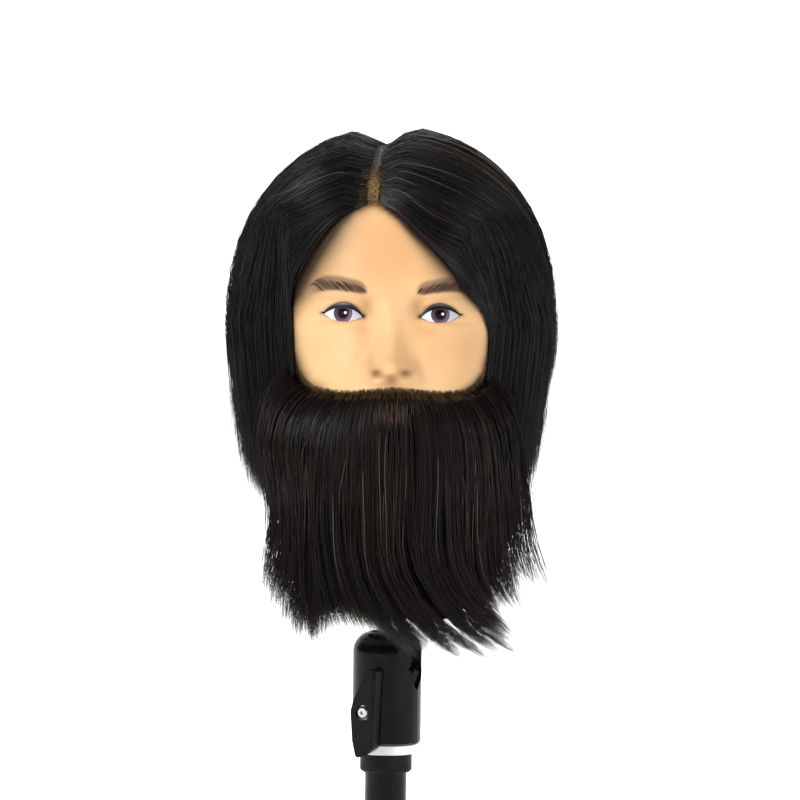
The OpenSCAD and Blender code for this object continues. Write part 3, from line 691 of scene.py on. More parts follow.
def strand_mesh(paths, radius):
    """Closed tapered strands along paths, which is strands x points x 3. Each ends in a point"""
    count, rings = paths.shape[0], paths.shape[1] - 1
    along = np.gradient(paths, axis=1)
    along /= np.linalg.norm(along, axis=2, keepdims=True) + 1e-9
    away = paths * [1, 1, 0] + [0, 0, 1e-3]
    side = np.cross(along, away)
    side /= np.linalg.norm(side, axis=2, keepdims=True) + 1e-9
    face = np.cross(side, along)
    t = np.linspace(0, 1, rings + 1)
    profile = (0.55 + 0.45 * ease(t, 0, 0.12)) * (1 - 0.75 * ease(t, 0.55, 1.0))
    radius = (np.asarray(radius)[:, None] * profile)[:, :rings, None]
    corners = []
    for k in range(STRAND_SIDES):
        angle = TURN * (k / STRAND_SIDES + 0.25)
        offset = side * math.cos(angle) + face * math.sin(angle)
        corners.append(paths[:, :rings] + offset[:, :rings] * radius)
    body = np.stack(corners, 2).reshape(count, rings * STRAND_SIDES, 3)
    points = np.concatenate([body, paths[:, -1:]], 1)
    faces = []
    for i in range(rings - 1):
        for k in range(STRAND_SIDES):
            j = (k + 1) % STRAND_SIDES
            low, high = i * STRAND_SIDES, (i + 1) * STRAND_SIDES
            faces += [[low + k, low + j, high + j], [low + k, high + j, high + k]]
    end = (rings - 1) * STRAND_SIDES
    tip = rings * STRAND_SIDES
    faces += [[end + k, end + (k + 1) % STRAND_SIDES, tip] for k in range(STRAND_SIDES)]
    faces += [[2, 1, 0]]
    faces = np.array(faces)
    segment = np.minimum(faces.min(1) // STRAND_SIDES, rings - 1)
    return points, faces, segment


def add_strands(name, rng, paths, thick, looks, shares=None,
                may_root=None, root_share=0.0):
    """Strand pieces of random radius and look, split so that none is too heavy. shares are how
    much each look is used. Of the strands in may_root, root_share start in the last look."""
    count = len(paths)
    radius = rng.uniform(*thick, count)
    tones = rng.choice(len(shares or looks), count, p=shares)
    rooted = np.zeros(count, bool)
    if may_root is not None:
        rooted = may_root & (rng.uniform(0, 1, count) < root_share)
    for number, start in enumerate(range(0, count, STRAND_LIMIT)):
        part = slice(start, start + STRAND_LIMIT)
        points, faces, segment = strand_mesh(paths[part], radius[part])
        strands, size = points.shape[:2]
        all_faces = (faces[None] + (np.arange(strands) * size)[:, None, None]).reshape(-1, 3)
        at_root = rooted[part, None] & (segment[None] == 0)
        shade = np.where(at_root, len(looks) - 1, tones[part, None])
        add_piece(f"{name}_{number + 1}", points.reshape(-1, 3), all_faces, looks,
                  tones=shade.ravel())


def gather(paths, centres, amount, power=1.6):
    """Draws each strand towards the middle of its lock, most at the tip"""
    t = np.linspace(0, 1, paths.shape[1])[None, :, None]
    return paths + (centres - paths) * amount[:, None, None] * t ** power


def wander(rng, paths, size, power=1.4):
    """Small smooth sideways drift of each strand that grows towards its tip"""
    count, steps = paths.shape[:2]
    t = np.linspace(0, 1, steps)[None, :, None]
    drift = rng.normal(0, 1, (count, 1, 3)) * t ** power
    phase = rng.uniform(0, TURN, (count, 1, 3))
    waves = rng.uniform(0.5, 1.6, (count, 1, 3))
    return size * (0.75 * drift + 0.5 * (np.sin(phase + TURN * waves * t) - np.sin(phase)) * t)


# ---------------------------------------------------------------- scalp hair

# The parting in plan, half of its bare width at the front, and the hair's dip along it
PART_FRONT, PART_BACK = (-12, -79), (2, 40)
PART_GAP = 3.0
PART_DIP, DIP_WIDTH = 7, 7
# Azimuths where the side hair starts and ends and where the back hair takes over, and how far
# the side hair's front reaches over the face
FRONT_AZ, BACK_AZ, CROWN_AZ = 58, 128, 126
FACE_TURN = 7
# Heights of the hems, the hair's outer form, and how wide it is on its way down
SIDE_HEM, BACK_HEM = -115, -129
HAIR = dict(a=101.5, f=98, b=120, up=117, power=2.05)
SIDE_H = [-130, -115, -92, -70, -48, -33, -18, 0]
SIDE_WIDE = [78, 81, 87, 92, 96, 97.5, 100, 101.5]
BACK_H = [-129, -95, -55, 0]
BACK_WIDE = [0.77, 0.85, 0.93, 1]
# Half width, front and back of the space inside the hair where it hangs free of the head
HANG_H = [-129, -105, -70, -45]
HANG_SIZES = [[60, 65, 67, 67], [62, 70, 86, 86], [66, 68, 72, 72]]
# The front edge: how its shape fades towards the back, how far behind it the strands still
# follow it, its shift outwards, and its lift off the skin at the parting and further down
EDGE_BLEND, EDGE_REACH, EDGE_SHIFT = 2.5, 0.1, 0.5
EDGE_LIFT = (0.03, 0.11)
EDGE_STEPS = np.arange(10) / 9
HAIR_GAP = 0.6  # between the skull and the hair's inner surface
SIDE_LOCKS, FRINGE_LOCKS, BACK_LOCKS = 60, 34, 70
FRINGE_WIDTH = 0.62  # share of the right side that the fringe covers
BACK_LAP = 0.02  # how far the back hair reaches under the sides


def under_hair(azimuth, h):
    """Point in plan of the hair's inner surface below eye level"""
    sizes = [np.maximum(size + HAIR_GAP, smooth(h, HANG_H, hang))
             for size, hang in zip(head_size(h), HANG_SIZES)]
    return section(*sizes, azimuth)


def shell(outside):
    """Outer form of the hair, or the inner one just over the skull"""
    if outside:
        return HAIR
    return {key: size + HAIR_GAP * (key != "power") for key, size in SKULL.items()}


def edge_plan(side, v, outside, target):
    """Point in plan on the hair's front edge, v being 0 at the parting and 1 at the temple"""
    edge_x, edge_h = (LEFT_X[:9], LEFT_H[:9]) if side < 0 else (RIGHT_X[:9], RIGHT_H[:9])
    x, h = np.array(edge_x, float), np.array(edge_h, float)
    form = shell(False)
    share = dome_share(h / form["up"], form["power"])
    across = np.abs(x) / (form["a"] * share)
    y = -form["f"] * share * (1 - across ** SECTION_ROUND) ** (1 / SECTION_ROUND)
    lift = 1 + (EDGE_LIFT[0] + EDGE_LIFT[1] * EDGE_STEPS[:9]) * outside
    xs = np.append((x + side * EDGE_SHIFT) * lift, target[0])
    ys = np.append(y * lift, target[1])
    return smooth(v, EDGE_STEPS, xs), smooth(v, EDGE_STEPS, ys)


def over_and_down(side, u, v, outside, turn=0.0):
    """Point of a side's hair surface. u runs from the front edge to the back, v from 0 at the
    parting to 1 at eye level and 2 at the hem. turn carries it round the head, in degrees."""
    form = shell(outside)
    over, fall = np.clip(v, 0, 1), np.clip(v - 1, 0, None)
    behind = np.clip(u, 0, None) / EDGE_REACH
    forward = FACE_TURN * np.exp(-behind) * ease(v, 0.75, 1.02)
    az = side * (FRONT_AZ + (BACK_AZ - FRONT_AZ) * u + turn - forward)
    part_x, part_y = (front + (back - front) * u for front, back in zip(PART_FRONT, PART_BACK))
    part_x = part_x + side * (0.1 + PART_GAP * np.exp(-behind ** 2) * (1 - over))
    sx, sy = plan(form, az)
    cx, cy = plan(form, side * FRONT_AZ)
    swing = np.sin(over * math.pi / 2)
    ex, ey = edge_plan(side, over, outside, (cx, cy))
    weight = np.clip(1 - u, 0, 1.1) ** EDGE_BLEND
    from_x, from_y = PART_FRONT[0] + side * EDGE_SHIFT, PART_FRONT[1]
    x = part_x + (sx - part_x) * swing + (ex - from_x - (cx - from_x) * swing) * weight
    y = part_y + (sy - part_y) * swing + (ey - from_y - (cy - from_y) * swing) * weight
    h = dome_h(x, y, **form) - PART_DIP * outside * np.exp(-((x - part_x) / DIP_WIDTH) ** 2)
    low = fall * SIDE_HEM
    return fallen(az, low, x, y, h, outside, (sx, sy), smooth(low, SIDE_H, SIDE_WIDE) / HAIR["a"])


def side_surface(side):
    """The surface function of one side, for combing"""
    return lambda u, v, outside: over_and_down(side, u, v, outside)


def fallen(azimuth, low, x, y, h, outside, rim, wide):
    """The point (x, y, h) on the dome, or at a height below eye level the one under its rim"""
    down = (rim[0] * wide, rim[1] * wide) if outside else under_hair(azimuth, low)
    return np.stack([np.where(low < 0, down[0], x), np.where(low < 0, down[1], y),
                     EYE_Z + np.where(low < 0, low, h)], -1)


def crown_and_down(u, v, outside):
    """Point of the back hair's surface, u running round from one side to the other"""
    form = shell(outside)
    over, fall = np.clip(v, 0, 1), np.clip(v - 1, 0, None)
    az = CROWN_AZ + (360 - 2 * CROWN_AZ) * u
    sx, sy = plan(form, az)
    tx, ty = PART_BACK[0] + 2.5 - 5 * u, PART_BACK[1] + 2.5
    swing = np.sin(over * math.pi / 2)
    x, y = tx + (sx - tx) * swing, ty + (sy - ty) * swing
    dip = np.exp(-(np.hypot(x - tx, y - ty) / DIP_WIDTH) ** 2)
    h = dome_h(x, y, **form) - PART_DIP * outside * dip
    low = fall * BACK_HEM
    return fallen(az, low, x, y, h, outside, (sx, sy), smooth(low, BACK_H, BACK_WIDE))


def edge_thin(u, v):
    """How much of its thickness the hair keeps: little along the edge beside the face"""
    return 1 - 0.9 * (1 - ease(u, 0, 0.16)) * ease(v, 0.72, 0.98)


def comb(surface, u, start, end, depth, rise, steps=13, thin=None):
    """Strand paths over a surface function, from v = start to end. They leave the skin at their
    root and reach depth, the share of the hair's thickness, within rise."""
    t = root_to_tip(steps) ** ROOT_CROWDING
    v = start[:, None] + (end - start)[:, None] * t
    u = np.broadcast_to(u[:, None], v.shape)
    inner, outer = surface(u, v, False), surface(u, v, True)
    share = depth[:, None] * ease((v - start[:, None]) / rise, -0.15, 1)
    if thin is not None:
        share = share * thin(u, v)
    return inner + (outer - inner) * share[..., None]


def combed_locks(surface, u, middle, pull, *way):
    """Strands combed over a surface, each drawn by its pull towards the middle of its lock"""
    paths, centres = (comb(surface, place, *way) for place in (u, middle))
    return gather(paths, centres, pull)


def layers(rng, count, last_start):
    """Layer of each strand, 0 under all others and 1 on top, with where it starts and its depth"""
    layer = rng.uniform(0, 1, count)
    start = 0.02 + 0.85 * (1 - layer) ** 1.3 + rng.normal(0, 0.03, count)
    return layer, np.clip(start, 0.0, last_start), 0.25 + 0.73 * layer + rng.normal(0, 0.015, count)


def locks(rng, u, count, low=0.0, high=1.0):
    """The lock each strand belongs to: its place across the hair and a number"""
    number = np.clip(((u - low) / (high - low) * count).astype(int), 0, count - 1)
    middles = low + (np.arange(count) + rng.uniform(0.25, 0.75, count)) / count * (high - low)
    return middles[number], number


def near_edge(u):
    """How much the strands wander: less along the edge beside the face"""
    return (0.25 + 0.75 * ease(u, 0, 0.1))[:, None, None]


def side_hair(side, word, rng, looks, count):
    """Hair combed from the parting over one side of the head, falling to the hem"""
    u = rng.uniform(0, 1, count) ** 1.15
    layer, start, depth = layers(rng, count, 0.85)
    middle, number = locks(rng, u, SIDE_LOCKS)
    lock_tip = rng.normal(0, 0.035, SIDE_LOCKS)[number]
    end = 1.98 - 0.16 * layer + lock_tip + rng.normal(0, 0.05, count) - 0.1 * np.exp(-u / 0.1)
    end = end + 0.12 * ease(u, 0.45, 1)
    if side > 0:
        under_fringe = np.exp(-(u / 0.4) ** 2)
        start = np.maximum(start, 0.45 * under_fringe)
        depth = depth * (1 - 0.22 * under_fringe)
    start = start * (0.05 + 0.95 * ease(u, 0, 0.16))
    pull = rng.uniform(0.1, 0.75, count) * ease(u, 0, 0.06)
    paths = combed_locks(side_surface(side), u, middle, pull, start, end, depth, 0.16, 13, edge_thin)
    flick = rng.uniform(-1, 7, SIDE_LOCKS)[number] * ease(u, 0.05, 0.3)
    paths[..., 0] += side * flick[:, None] * root_to_tip(paths.shape[1]) ** 7
    paths += wander(rng, paths, 1.1) * near_edge(u)
    add_strands(f"hair_{word}_strands", rng, paths, (0.16, 0.27), looks, shares=TONE_SHARES,
                may_root=(u < 0.14) & (start < 0.05), root_share=0.35)


def swept_fringe(rng, looks, count):
    """Fringe on the right: from the parting down across the brow and back round the temple"""
    u = rng.uniform(0, 1, count) ** 1.6 * FRINGE_WIDTH
    layer = rng.uniform(0, 1, count)
    start = np.clip(0.015 + 0.16 * (1 - layer) + rng.normal(0, 0.012, count), 0, 0.3)
    depth = 0.45 + 0.5 * layer + rng.normal(0, 0.02, count)
    depth = depth * (0.45 + 0.55 * ease(u, -0.01, 0.12))
    middle, number = locks(rng, u, FRINGE_LOCKS, 0, FRINGE_WIDTH)
    lock_tip = rng.normal(0, 0.04, FRINGE_LOCKS)[number]
    end = 1.34 - 0.2 * np.exp(-u / 0.12) + lock_tip + rng.normal(0, 0.05, count)
    sweep = ((1 - ease(u, 0.1, FRINGE_WIDTH)) * (34 - 70 * np.clip(u, 0, 0.4))
             + rng.normal(0, 2.0, count))

    def surface(u, v, outside):
        return over_and_down(1, u, v, outside, sweep[:, None] * ease(v, 0.86, 1.32))

    start = start * (0.1 + 0.9 * ease(u, 0, 0.1))
    pull = rng.uniform(0.1, 0.6, count) * ease(u, 0, 0.1)
    paths = combed_locks(surface, u, middle, pull, start, end, depth, 0.14, 15, edge_thin)
    paths += wander(rng, paths, 0.8) * near_edge(u)
    flick = rng.uniform(0, 3.0, count)[:, None]
    paths[..., 0] += ease(root_to_tip(paths.shape[1]), 0.8, 1) * flick
    add_strands("fringe_strands", rng, paths, (0.15, 0.25), looks, shares=(0.38, 0.32, 0.22, 0.08),
                may_root=(u < 0.12) & (start < 0.05), root_share=0.3)


def back_hair(rng, looks, count):
    """Hair combed from the crown down the back of the head"""
    u = rng.uniform(-BACK_LAP, 1 + BACK_LAP, count)
    layer, start, depth = layers(rng, count, 0.9)
    middle, number = locks(rng, u, BACK_LOCKS, -BACK_LAP, 1 + BACK_LAP)
    lock_tip = rng.normal(0, 0.04, BACK_LOCKS)[number]
    end = 1.97 - 0.15 * layer + lock_tip + rng.normal(0, 0.05, count)
    pull = rng.uniform(0.1, 0.6, count)
    paths = combed_locks(crown_and_down, u, middle, pull, start, end, depth, 0.16)
    paths += wander(rng, paths, 1.1)
    add_strands("hair_back_strands", rng, paths, (0.16, 0.27), looks, shares=TONE_SHARES)


def undercoat(name, look, surface, u, v, share):
    """Dark mass that closes the hair below its strands, up to a share of its thickness"""
    inner, outer = surface(u + 0 * v, v + 0 * u, False), surface(u + 0 * v, v + 0 * u, True)
    reach = outer - inner
    points, faces = slab(inner + reach * share[..., None], inner + reach * 0.03)
    add_piece(name + "_undercoat", points, faces, [look], replaces=[name])


def hair_masses(look):
    """The undercoats of both sides and the back"""
    v = np.concatenate([np.linspace(0.03, 1, 30), np.linspace(1.05, 1.86, 22)])[:, None]
    thin = ease(v, 0.03, 0.2) * (1 - 0.35 * ease(v, 1.5, 1.86))
    u = np.linspace(0.02, 1, 40)[None, :]
    lower = v + 0.1 * ease(u, 0.45, 1) * ease(v, 1.2, 1.86)
    share = (0.08 + 0.42 * ease(u, 0.02, 0.25)) * thin * edge_thin(u, v)
    for side, word in SIDES:
        undercoat("hair_" + word, look, side_surface(side), u, lower, share)
    u = np.linspace(0, 1, 44)[None, :]
    undercoat("hair_back", look, crown_and_down, u, v, 0.55 * thin + 0 * u)


# ---------------------------------------------------------------- beard

BEARD_AZ = 52
BEARD_LOCKS = 46
BEARD_A, BEARD_F = 96, 99
# The beard lies on the skin down to the chin and hangs free of it from the throat
CHIN_H, RELIEF_FOOT, THROAT_H = -99, -100, -112
# Foot of the beard, its outer and inner shares of the full form, and how far it is combed aside
HEM_AZ = [-56, -46, -38, -31, -25, -19, -12, -4, 6, 16, 28, 38, 48, 56]
HEM_H = [-164, -174, -192, -202, -192, -187, -194, -202, -200, -192, -181, -172, -162, -152]
OUT_H = [-200, -175, -145, -105, -65, -46]
OUT_SHARE = [0.85, 0.93, 1, 1.02, 1, 0.97]
IN_H = [-200, -175, -119, -109, -99, -46]
IN_SHARE = [0.62, 0.62, 0.66, 0.86, 0.95, 0.92]
SWEEP_AZ = [-56, -40, -30, -20, -8, 5, 20, 38, 56]
SWEEP_X = [8, 2, -2, 14, 38, 54, 50, 30, 16]
SWEEP_FROM, SWEEP_SPAN, SWEEP_POWER = -120, 76, 2.5


def beard_point(az, h, outside):
    """Point of the beard's outer surface, or of the skin and the air behind it"""
    full = section(BEARD_A, BEARD_F, BEARD_F, az)
    if outside:
        narrower = 0.15 * ease(-az, 16, 46) * ease(-h, 70, 122)
        share = smooth(h, OUT_H, OUT_SHARE) * (1 - narrower)
        return np.stack([full[0] * share, full[1] * share, EYE_Z + h], -1)
    x, y = section(*head_size(h), az)
    y = y - relief(x, h) * (h > RELIEF_FOOT)
    length = np.hypot(x, y)
    on_skin = length + 0.3
    free = np.hypot(*full) * smooth(h, IN_H, IN_SHARE)
    reach = np.where(h > THROAT_H, np.maximum(on_skin, np.where(h > CHIN_H, 0, free)), free)
    return np.stack([x / length * reach, y / length * reach, EYE_Z + h], -1)


def swept(angle, h):
    """How far the beard is combed towards +X at an angle and a height"""
    low = np.clip((SWEEP_FROM - h) / SWEEP_SPAN, 0, None)
    return smooth(angle, SWEEP_AZ, SWEEP_X) * low ** SWEEP_POWER


def beard_paths(az, root, tip, depth):
    """Strand paths that hang from the skin at a root height to a tip height"""
    t = root_to_tip(14)
    h = root[:, None] + (tip - root)[:, None] * t ** ROOT_CROWDING
    angle = np.broadcast_to(az[:, None], h.shape)
    inner, outer = beard_point(angle, h, False), beard_point(angle, h, True)
    share = depth[:, None] * (1 - np.exp(-(root[:, None] - h) / 9.0))
    paths = inner + (outer - inner) * share[..., None]
    paths[..., 0] += swept(angle, h)
    return paths


def make_beard(rng, looks, count):
    """Full beard from the cheeks and lip to well below the chin"""
    reach = BEARD_AZ + 2
    az = rng.uniform(-reach, reach, count)
    az = np.where(rng.uniform(0, 1, count) < 0.2, rng.normal(-12, 9, count), az)
    layer = rng.uniform(0, 1, count)
    x_root = section(66, 90, 90, az)[0]
    line = smooth(x_root, BEARD_LINE_X, BEARD_LINE_H)
    root = line - 1.0 - 52 * (1 - layer) ** 1.5 - np.abs(rng.normal(0, 1.2, count))
    below_lip = (np.abs(x_root) < 11) & (root > -68) & (root < -49)
    keep = ~(below_lip & (rng.uniform(0, 1, count) < 0.75))
    az, layer, root, x_root, line = (values[keep] for values in (az, layer, root, x_root, line))
    count = len(az)
    under_chin = rng.uniform(0, 1, count) < 0.25
    root = np.where(under_chin, root - rng.uniform(10, 50, count) * (layer < 0.6), root)
    middle, number = locks(rng, az, BEARD_LOCKS, -reach, reach)
    lock_tip = rng.normal(0, 4.0, BEARD_LOCKS)[number]
    tip = (smooth(az, HEM_AZ, HEM_H) + 4 * (1 - layer) + lock_tip
           + np.abs(rng.normal(0, 4, count)))
    depth = 0.3 + 0.7 * layer + rng.normal(0, 0.03, count)
    paths, centres = (beard_paths(place, root, tip, depth) for place in (az, middle))
    paths = gather(paths, centres, rng.uniform(0.1, 0.65, count), 2.2)
    paths += wander(rng, paths, 1.3, 2.0)
    outwards = 17 * ease(az, 6, 38) - 19 * ease(-az, 30, 46)
    flick, turns, phase = (rng.uniform(low, high, BEARD_LOCKS)[number][:, None]
                           for low, high in ((0, 1), (0.5, 1.1), (0, TURN)))
    t = root_to_tip(paths.shape[1])
    paths[..., 0] += (flick * outwards[:, None] * t ** 5
                      + 2.4 * t * np.sin(phase + TURN * turns * t))
    add_strands("beard_strands", rng, paths, (0.17, 0.29), looks,
                shares=(0.4, 0.32, 0.2, 0.08),
                may_root=(root > line - 4) & (np.abs(x_root) < 44), root_share=0.4)


def beard_mass(look):
    """Dark mass inside the beard, with a ragged foot above the strands' tips"""
    az = np.linspace(-BEARD_AZ, BEARD_AZ, 44)[None, :]
    t = np.linspace(0, 1, 34)[:, None]
    top = -55
    ragged = 5 * np.sin(az * 0.9) + 3.5 * np.sin(az * 2.3 + 1)
    foot = smooth(az, HEM_AZ, HEM_H) + 25 + 14 * ease(-az, 25, 45) + ragged
    h = top + (foot - top) * t
    inner, outer = beard_point(az + 0 * h, h, False), beard_point(az + 0 * h, h, True)
    share = 0.08 + 0.5 * ease(t, 0, 0.25) * (1 - 0.4 * ease(t, 0.7, 1)) + 0 * az
    reach = outer - inner
    sheets = [inner + reach * share[..., None], inner + reach * 0.02]
    for sheet in sheets:
        angle = np.degrees(np.arctan2(sheet[..., 0], -sheet[..., 1]))
        sheet[..., 0] += swept(angle, sheet[..., 2] - EYE_Z)
    points, faces = slab(*sheets)
    add_piece("beard_undercoat", points, faces, [look], replaces=["beard"])


def make_beard_roots(rng, looks, count):
    """Short fine hairs along the beard's upper edge"""
    x = rng.uniform(-52, 52, count)
    line = smooth(x, BEARD_LINE_X, BEARD_LINE_H)
    h = line + rng.uniform(-5.5, 0.8, count)
    t = root_to_tip(5)
    length = rng.uniform(3.0, 6.5, count)[:, None]
    lean = (rng.normal(0, 0.16, count) + 0.004 * x)[:, None]
    px = x[:, None] + lean * length * t
    ph = h[:, None] - length * t
    paths = on_face(px, ph)
    paths[..., 1] -= 0.1 + rng.uniform(0.4, 1.6, count)[:, None] * t ** 1.2
    add_strands("beard_root_hairs", rng, paths, (0.09, 0.15), looks)


# ---------------------------------------------------------------- small hair pieces


def make_brows(rng, looks, count):
    """Fine brow hairs laid on the skin, leaning outwards and up"""
    for side, word in SIDES:
        share = (np.arange(count) + rng.uniform(0, 1, count)) / count
        x = 14.2 + 27 * share
        foot = smooth(x, BROW_X, BROW_FOOT) + rng.uniform(-0.2, 1.6, count)
        top = smooth(x, BROW_X, BROW_TOP)
        reach = (top - foot) * rng.uniform(0.55, 1.0, count)
        lean = 0.75 + 0.5 * share
        t = root_to_tip(5)
        px = x[:, None] + (reach * lean)[:, None] * t
        ph = foot[:, None] + reach[:, None] * t ** 0.85
        ceiling = smooth(px, BROW_X, BROW_TOP) + 0.2
        paths = on_face(px, np.minimum(ph, ceiling), 0.12)
        paths[..., 0] *= side
        add_strands("brow_" + word, rng, paths, (0.1, 0.15), looks, shares=(0.65, 0.35))


def stray_hairs(rng, looks, count):
    """A few light loose hairs over the fringe and the beard"""
    u = rng.uniform(0.02, 0.6, count)
    start = rng.uniform(0.02, 0.25, count)
    end = start + rng.uniform(0.35, 0.85, count)
    depth = rng.uniform(1.0, 1.04, count)
    side = rng.choice([-1, 1], count, p=[0.3, 0.7])
    sets = []
    for on_side, _ in SIDES:
        way = [values[side == on_side] for values in (u, start, end, depth)]
        sets.append(comb(side_surface(on_side), *way, 0.1, 14))
    az = rng.uniform(-50, 50, count)
    root = rng.uniform(-75, -50, count)
    tip = root - rng.uniform(45, 110, count)
    sets.append(beard_paths(az, root, tip, rng.uniform(1.0, 1.05, count)))
    paths = np.concatenate(sets)
    paths += wander(rng, paths, 2.2)
    add_strands("stray_hairs", rng, paths, (0.07, 0.11), looks)


def parting_stubble(rng, looks, count):
    """Short dark roots over the bare skin at the front of the parting"""
    h = rng.uniform(63, 84, count)
    x = -11 + 0.12 * (h - 63) + rng.uniform(-1, 1, count) * (5 - 0.18 * (h - 63))
    t = root_to_tip(4)
    lean = rng.uniform(-1.8, 1.8, count)[:, None]
    paths = on_face(x[:, None] + lean * t, h[:, None] + rng.uniform(-0.6, 1.0, count)[:, None] * t)
    paths[..., 1] -= 0.7 * t
    add_strands("parting_stubble", rng, paths, (0.12, 0.22), looks)


def lip_patch(rng, looks, count):
    """Paler short hairs where the beard is thin below the lip"""
    az = np.broadcast_to(rng.normal(0.6, 2.6, count)[:, None], (count, 6))
    top = rng.normal(-55.5, 2.4, count)[:, None]
    h = top - rng.uniform(4, 9, count)[:, None] * np.linspace(0, 1, 6)
    paths = beard_point(az, h, True)
    paths[..., :2] *= rng.uniform(1.002, 1.016, count)[:, None, None]
    add_strands("lip_patch_hairs", rng, paths, (0.09, 0.16), looks)


# ---------------------------------------------------------------- holder

# CAD nodes of plastic or rubber: material, colour, roughness, scale and depth of the grain, gloss
PLASTIC_NODES = {
    "pole_tube": ("pole_black_gloss", (11, 11, 13), 0.22, 700, 0.05, 0.15),
    "pole_collar": ("collar_black", (16, 16, 19), 0.5, 2600, 0.35, 0.15),
    "pan_washer": ("washer_nylon", (226, 222, 208), 0.42, 2200, 0.25, 0.5),
    "housing_front": ("housing_front_black", (10, 10, 13), 0.16, 1800, 0.03, 0.12),
    "housing_rear": ("housing_rear_black", (10, 10, 13), 0.17, 1800, 0.03, 0.12),
    "ball_seat": ("seat_nylon", (214, 210, 198), 0.4, 2200, 0.25, 0.5),
    "lever": ("lever_black", (13, 13, 15), 0.38, 2400, 0.3, 0.15),
    "ball": ("ball_dark", (44, 45, 49), 0.32, 2200, 0.25, 0.5),
    "plug_core": ("plug_black", (30, 31, 34), 0.4, 2200, 0.25, 0.5),
    "plug_sleeve": ("sleeve_rubber", (40, 40, 41), 0.72, 1500, 0.5, 0.5),
    "neck_socket": ("socket_cream", (232, 229, 220), 0.45, 2200, 0.25, 0.5),
}
# CAD nodes of metal: material, colour, roughness, stretch, scale and depth of the brushing
METAL_NODES = {
    "pan_stud": ("stud_steel", (150, 152, 156), 0.34, (1, 1, 40), 900, 0.2),
    "clamp_ring": ("ring_turned_aluminium", (250, 251, 253), 0.42, (1, 1, 0.15), 90, 0.35),
    "clamp_nut": ("nut_plated", (186, 188, 192), 0.26, (1, 1, 1), 900, 0.2),
    "housing_screws": ("screws_black_oxide", (58, 59, 63), 0.36, (1, 1, 1), 900, 0.2),
    "clamp_bolt": ("bolt_plated", (206, 208, 212), 0.22, (1, 30, 1), 900, 0.2),
    "lever_washer": ("washer_plated", (190, 193, 198), 0.26, (1, 1, 1), 900, 0.2),
    "stem": ("stem_steel", (176, 178, 182), 0.28, (1, 1, 40), 900, 0.2),
    "plug_screw": ("plug_screw_plated", (190, 192, 197), 0.26, (1, 1, 1), 900, 0.2),
    "socket_screws": ("socket_screws_plated", (184, 186, 190), 0.3, (1, 1, 1), 900, 0.2),
}


def dress_holder():
    """Procedural materials for the CAD nodes that stay"""
    for make, nodes in ((moulded, PLASTIC_NODES), (metal, METAL_NODES)):
        for node, (name, colour, *finish) in nodes.items():
            piece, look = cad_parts[node], make(name, rgb(*colour), *finish)
            if not piece.material_slots:
                piece.data.materials.append(look)
            for slot in piece.material_slots:
                slot.link = "OBJECT"
                slot.material = look


# ---------------------------------------------------------------- studio


def area_light(name, place, aim, size, energy):
    """Round soft light at a place, turned to its aim"""
    light = bpy.data.lights.new(name, "AREA")
    light.shape, light.size, light.energy = "DISK", size, energy
    lamp = bpy.data.objects.new(name, light)
    lamp.location = place
    lamp.rotation_euler = (Vector(aim) - Vector(place)).to_track_quat("-Z", "Y").to_euler()
    bpy.context.scene.collection.objects.link(lamp)


def make_world():
    """White surroundings that the camera sees brighter than they light the object"""
    world = bpy.data.worlds.new("studio")
    world.use_nodes = True
    tree = world.node_tree
    sky = tree.nodes["Background"]
    sky.inputs["Color"].default_value = (1, 1, 1, 1)
    glow = tree.nodes.new("ShaderNodeMapRange")
    glow.inputs["To Min"].default_value = 0.12
    glow.inputs["To Max"].default_value = 1.0
    seen = tree.nodes.new("ShaderNodeLightPath").outputs["Is Camera Ray"]
    tree.links.new(seen, glow.inputs["Value"])
    tree.links.new(glow.outputs["Result"], sky.inputs["Strength"])
    bpy.context.scene.world = world


def backdrop_look():
    """White that glows away from the object, so that dark pieces don't mirror the floor"""
    look = Look("backdrop_white", (0.93, 0.93, 0.93), 0.9, Emission_Color=(1, 1, 1, 1))
    place = look.node("SeparateXYZ", {"Vector": look.place()}).outputs
    away = look.length(place["X"], look.math("ADD", place["Y"], 0.5))
    look.set(Emission_Strength=look.span(away, 0.15, 0.9, 0.3, 0.85))
    return look.material


def make_backdrop():
    """Pale floor that bends up into a wall behind the object"""
    radius, wall_y, wall_top, front, half_width = 0.8, 2.4, 4, -2.5, 4.0
    bend = np.radians(np.linspace(0, 90, 13))
    profile = [(front, 0.0)]
    profile += [(wall_y - radius + radius * math.sin(a), radius - radius * math.cos(a)) for a in bend]
    profile += [(wall_y, wall_top)]
    points = [(x, y, z - 0.0005) for y, z in profile for x in (-half_width, half_width)]
    faces = [(2 * i, 2 * i + 1, 2 * i + 3, 2 * i + 2) for i in range(len(profile) - 1)]
    mesh = bpy.data.meshes.new("backdrop")
    mesh.from_pydata(points, [], faces)
    mesh.polygons.foreach_set("use_smooth", [True] * len(faces))
    mesh.materials.append(backdrop_look())
    backdrop = bpy.data.objects.new("backdrop", mesh)
    bpy.context.scene.collection.objects.link(backdrop)


def make_camera():
    """Camera level with the face, turned a little about its own axis like the photo's"""
    camera = bpy.data.objects.new("camera", bpy.data.cameras.new("camera"))
    camera.data.lens = 107
    camera.data.sensor_width = 36
    camera.data.clip_end = 20
    level = Euler((math.radians(90), 0, 0)).to_matrix()
    roll = Matrix.Rotation(math.radians(0.8), 3, "Z")
    camera.rotation_euler = (level @ roll).to_euler()
    camera.location = (0.0055, -1.45, 0.305)
    bpy.context.scene.collection.objects.link(camera)
    bpy.context.scene.camera = camera


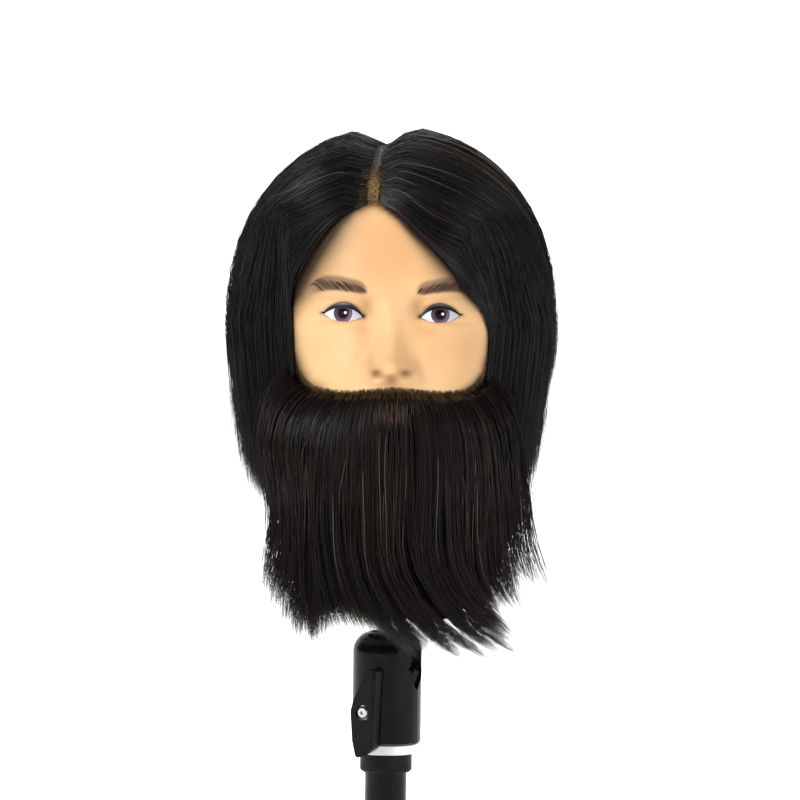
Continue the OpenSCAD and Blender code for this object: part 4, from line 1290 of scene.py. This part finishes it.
def make_studio():
    """Pale seamless backdrop, soft light from the front left, and the camera"""
    bpy.context.scene.view_settings.view_transform = "Standard"
    make_world()
    make_backdrop()
    area_light("key", (-1.35, -1.5, 1.15), (0, 0, 0.36), 0.8, 26)
    area_light("fill", (1.5, -1.5, 0.7), (0, 0, 0.33), 1.2, 13)
    area_light("top", (0.1, 0.5, 1.9), (0, 0, 0.35), 1.0, 9)
    make_camera()


def make_face():
    """The skin, and the eyes painted on it"""
    make_skin()
    eye = eye_look()
    band = painted("lid_paint", 0.36, 1800, 0.05)
    # The catch lights are painted reflections of a lamp: white dots that glow a little
    dot = Look("catch_light_white", (1, 1, 1), 0.2, Emission_Color=(1, 1, 1, 1),
               Emission_Strength=0.35)
    dot.set(Base_Color=dot.ramp(dot.noise(900), (0.3, (0.93, 0.93, 0.95)), (0.6, (1, 1, 1))))
    for side, word in SIDES:
        make_eye(side, word, eye)
        make_highlight(side, word, dot.material)
        make_lashes(side, word, band)
        make_lower_lid(side, word, band)


def make_hair():
    """Scalp hair, beard and brows. Each set has random numbers of its own"""
    golden = fibre("fibre_golden_root", (104, 80, 46), 0.5)
    hair = [fibre("hair_black", (14, 13, 14)), fibre("hair_soft_black", (22, 20, 21)),
            fibre("hair_brown_black", (30, 25, 23)), fibre("hair_grey_black", (42, 39, 39)), golden]
    beard = [fibre("beard_black", (15, 11, 11)), fibre("beard_brown_black", (25, 18, 16)),
             fibre("beard_brown", (37, 27, 23)), fibre("beard_light_brown", (50, 39, 34)), golden]
    brow = [fibre("brow_dark", (58, 42, 38), 0.5), fibre("brow_red_brown", (86, 58, 50), 0.5)]
    roots = [golden, fibre("root_olive", (92, 74, 42), 0.5), fibre("root_dark", (44, 33, 24), 0.5)]
    stray = [fibre("stray_light", (150, 138, 128), 0.4), fibre("stray_brown", (100, 84, 74), 0.4)]
    patch = [fibre("patch_brown", (108, 85, 72), 0.6), fibre("patch_dark", (70, 54, 47), 0.6)]

    hair_masses(fibre_mass("hair_undercoat", (14, 13, 13), (26, 24, 24)))
    for (side, word), seed, count in zip(SIDES, (11, 12), (4600, 4200)):
        side_hair(side, word, np.random.default_rng(seed), hair, count)
    swept_fringe(np.random.default_rng(13), hair, 3600)
    back_hair(np.random.default_rng(14), hair, 4200)
    make_beard(np.random.default_rng(15), beard, 7600)
    beard_mass(fibre_mass("beard_undercoat_fibre", (14, 11, 10), (27, 21, 19)))
    make_beard_roots(np.random.default_rng(16), roots, 2400)
    make_brows(np.random.default_rng(17), brow, 90)
    stray_hairs(np.random.default_rng(18), stray, 46)
    parting_stubble(np.random.default_rng(20), brow, 150)
    lip_patch(np.random.default_rng(19), patch, 170)


def main():
    make_studio()
    dress_holder()
    make_face()
    make_hair()


main()
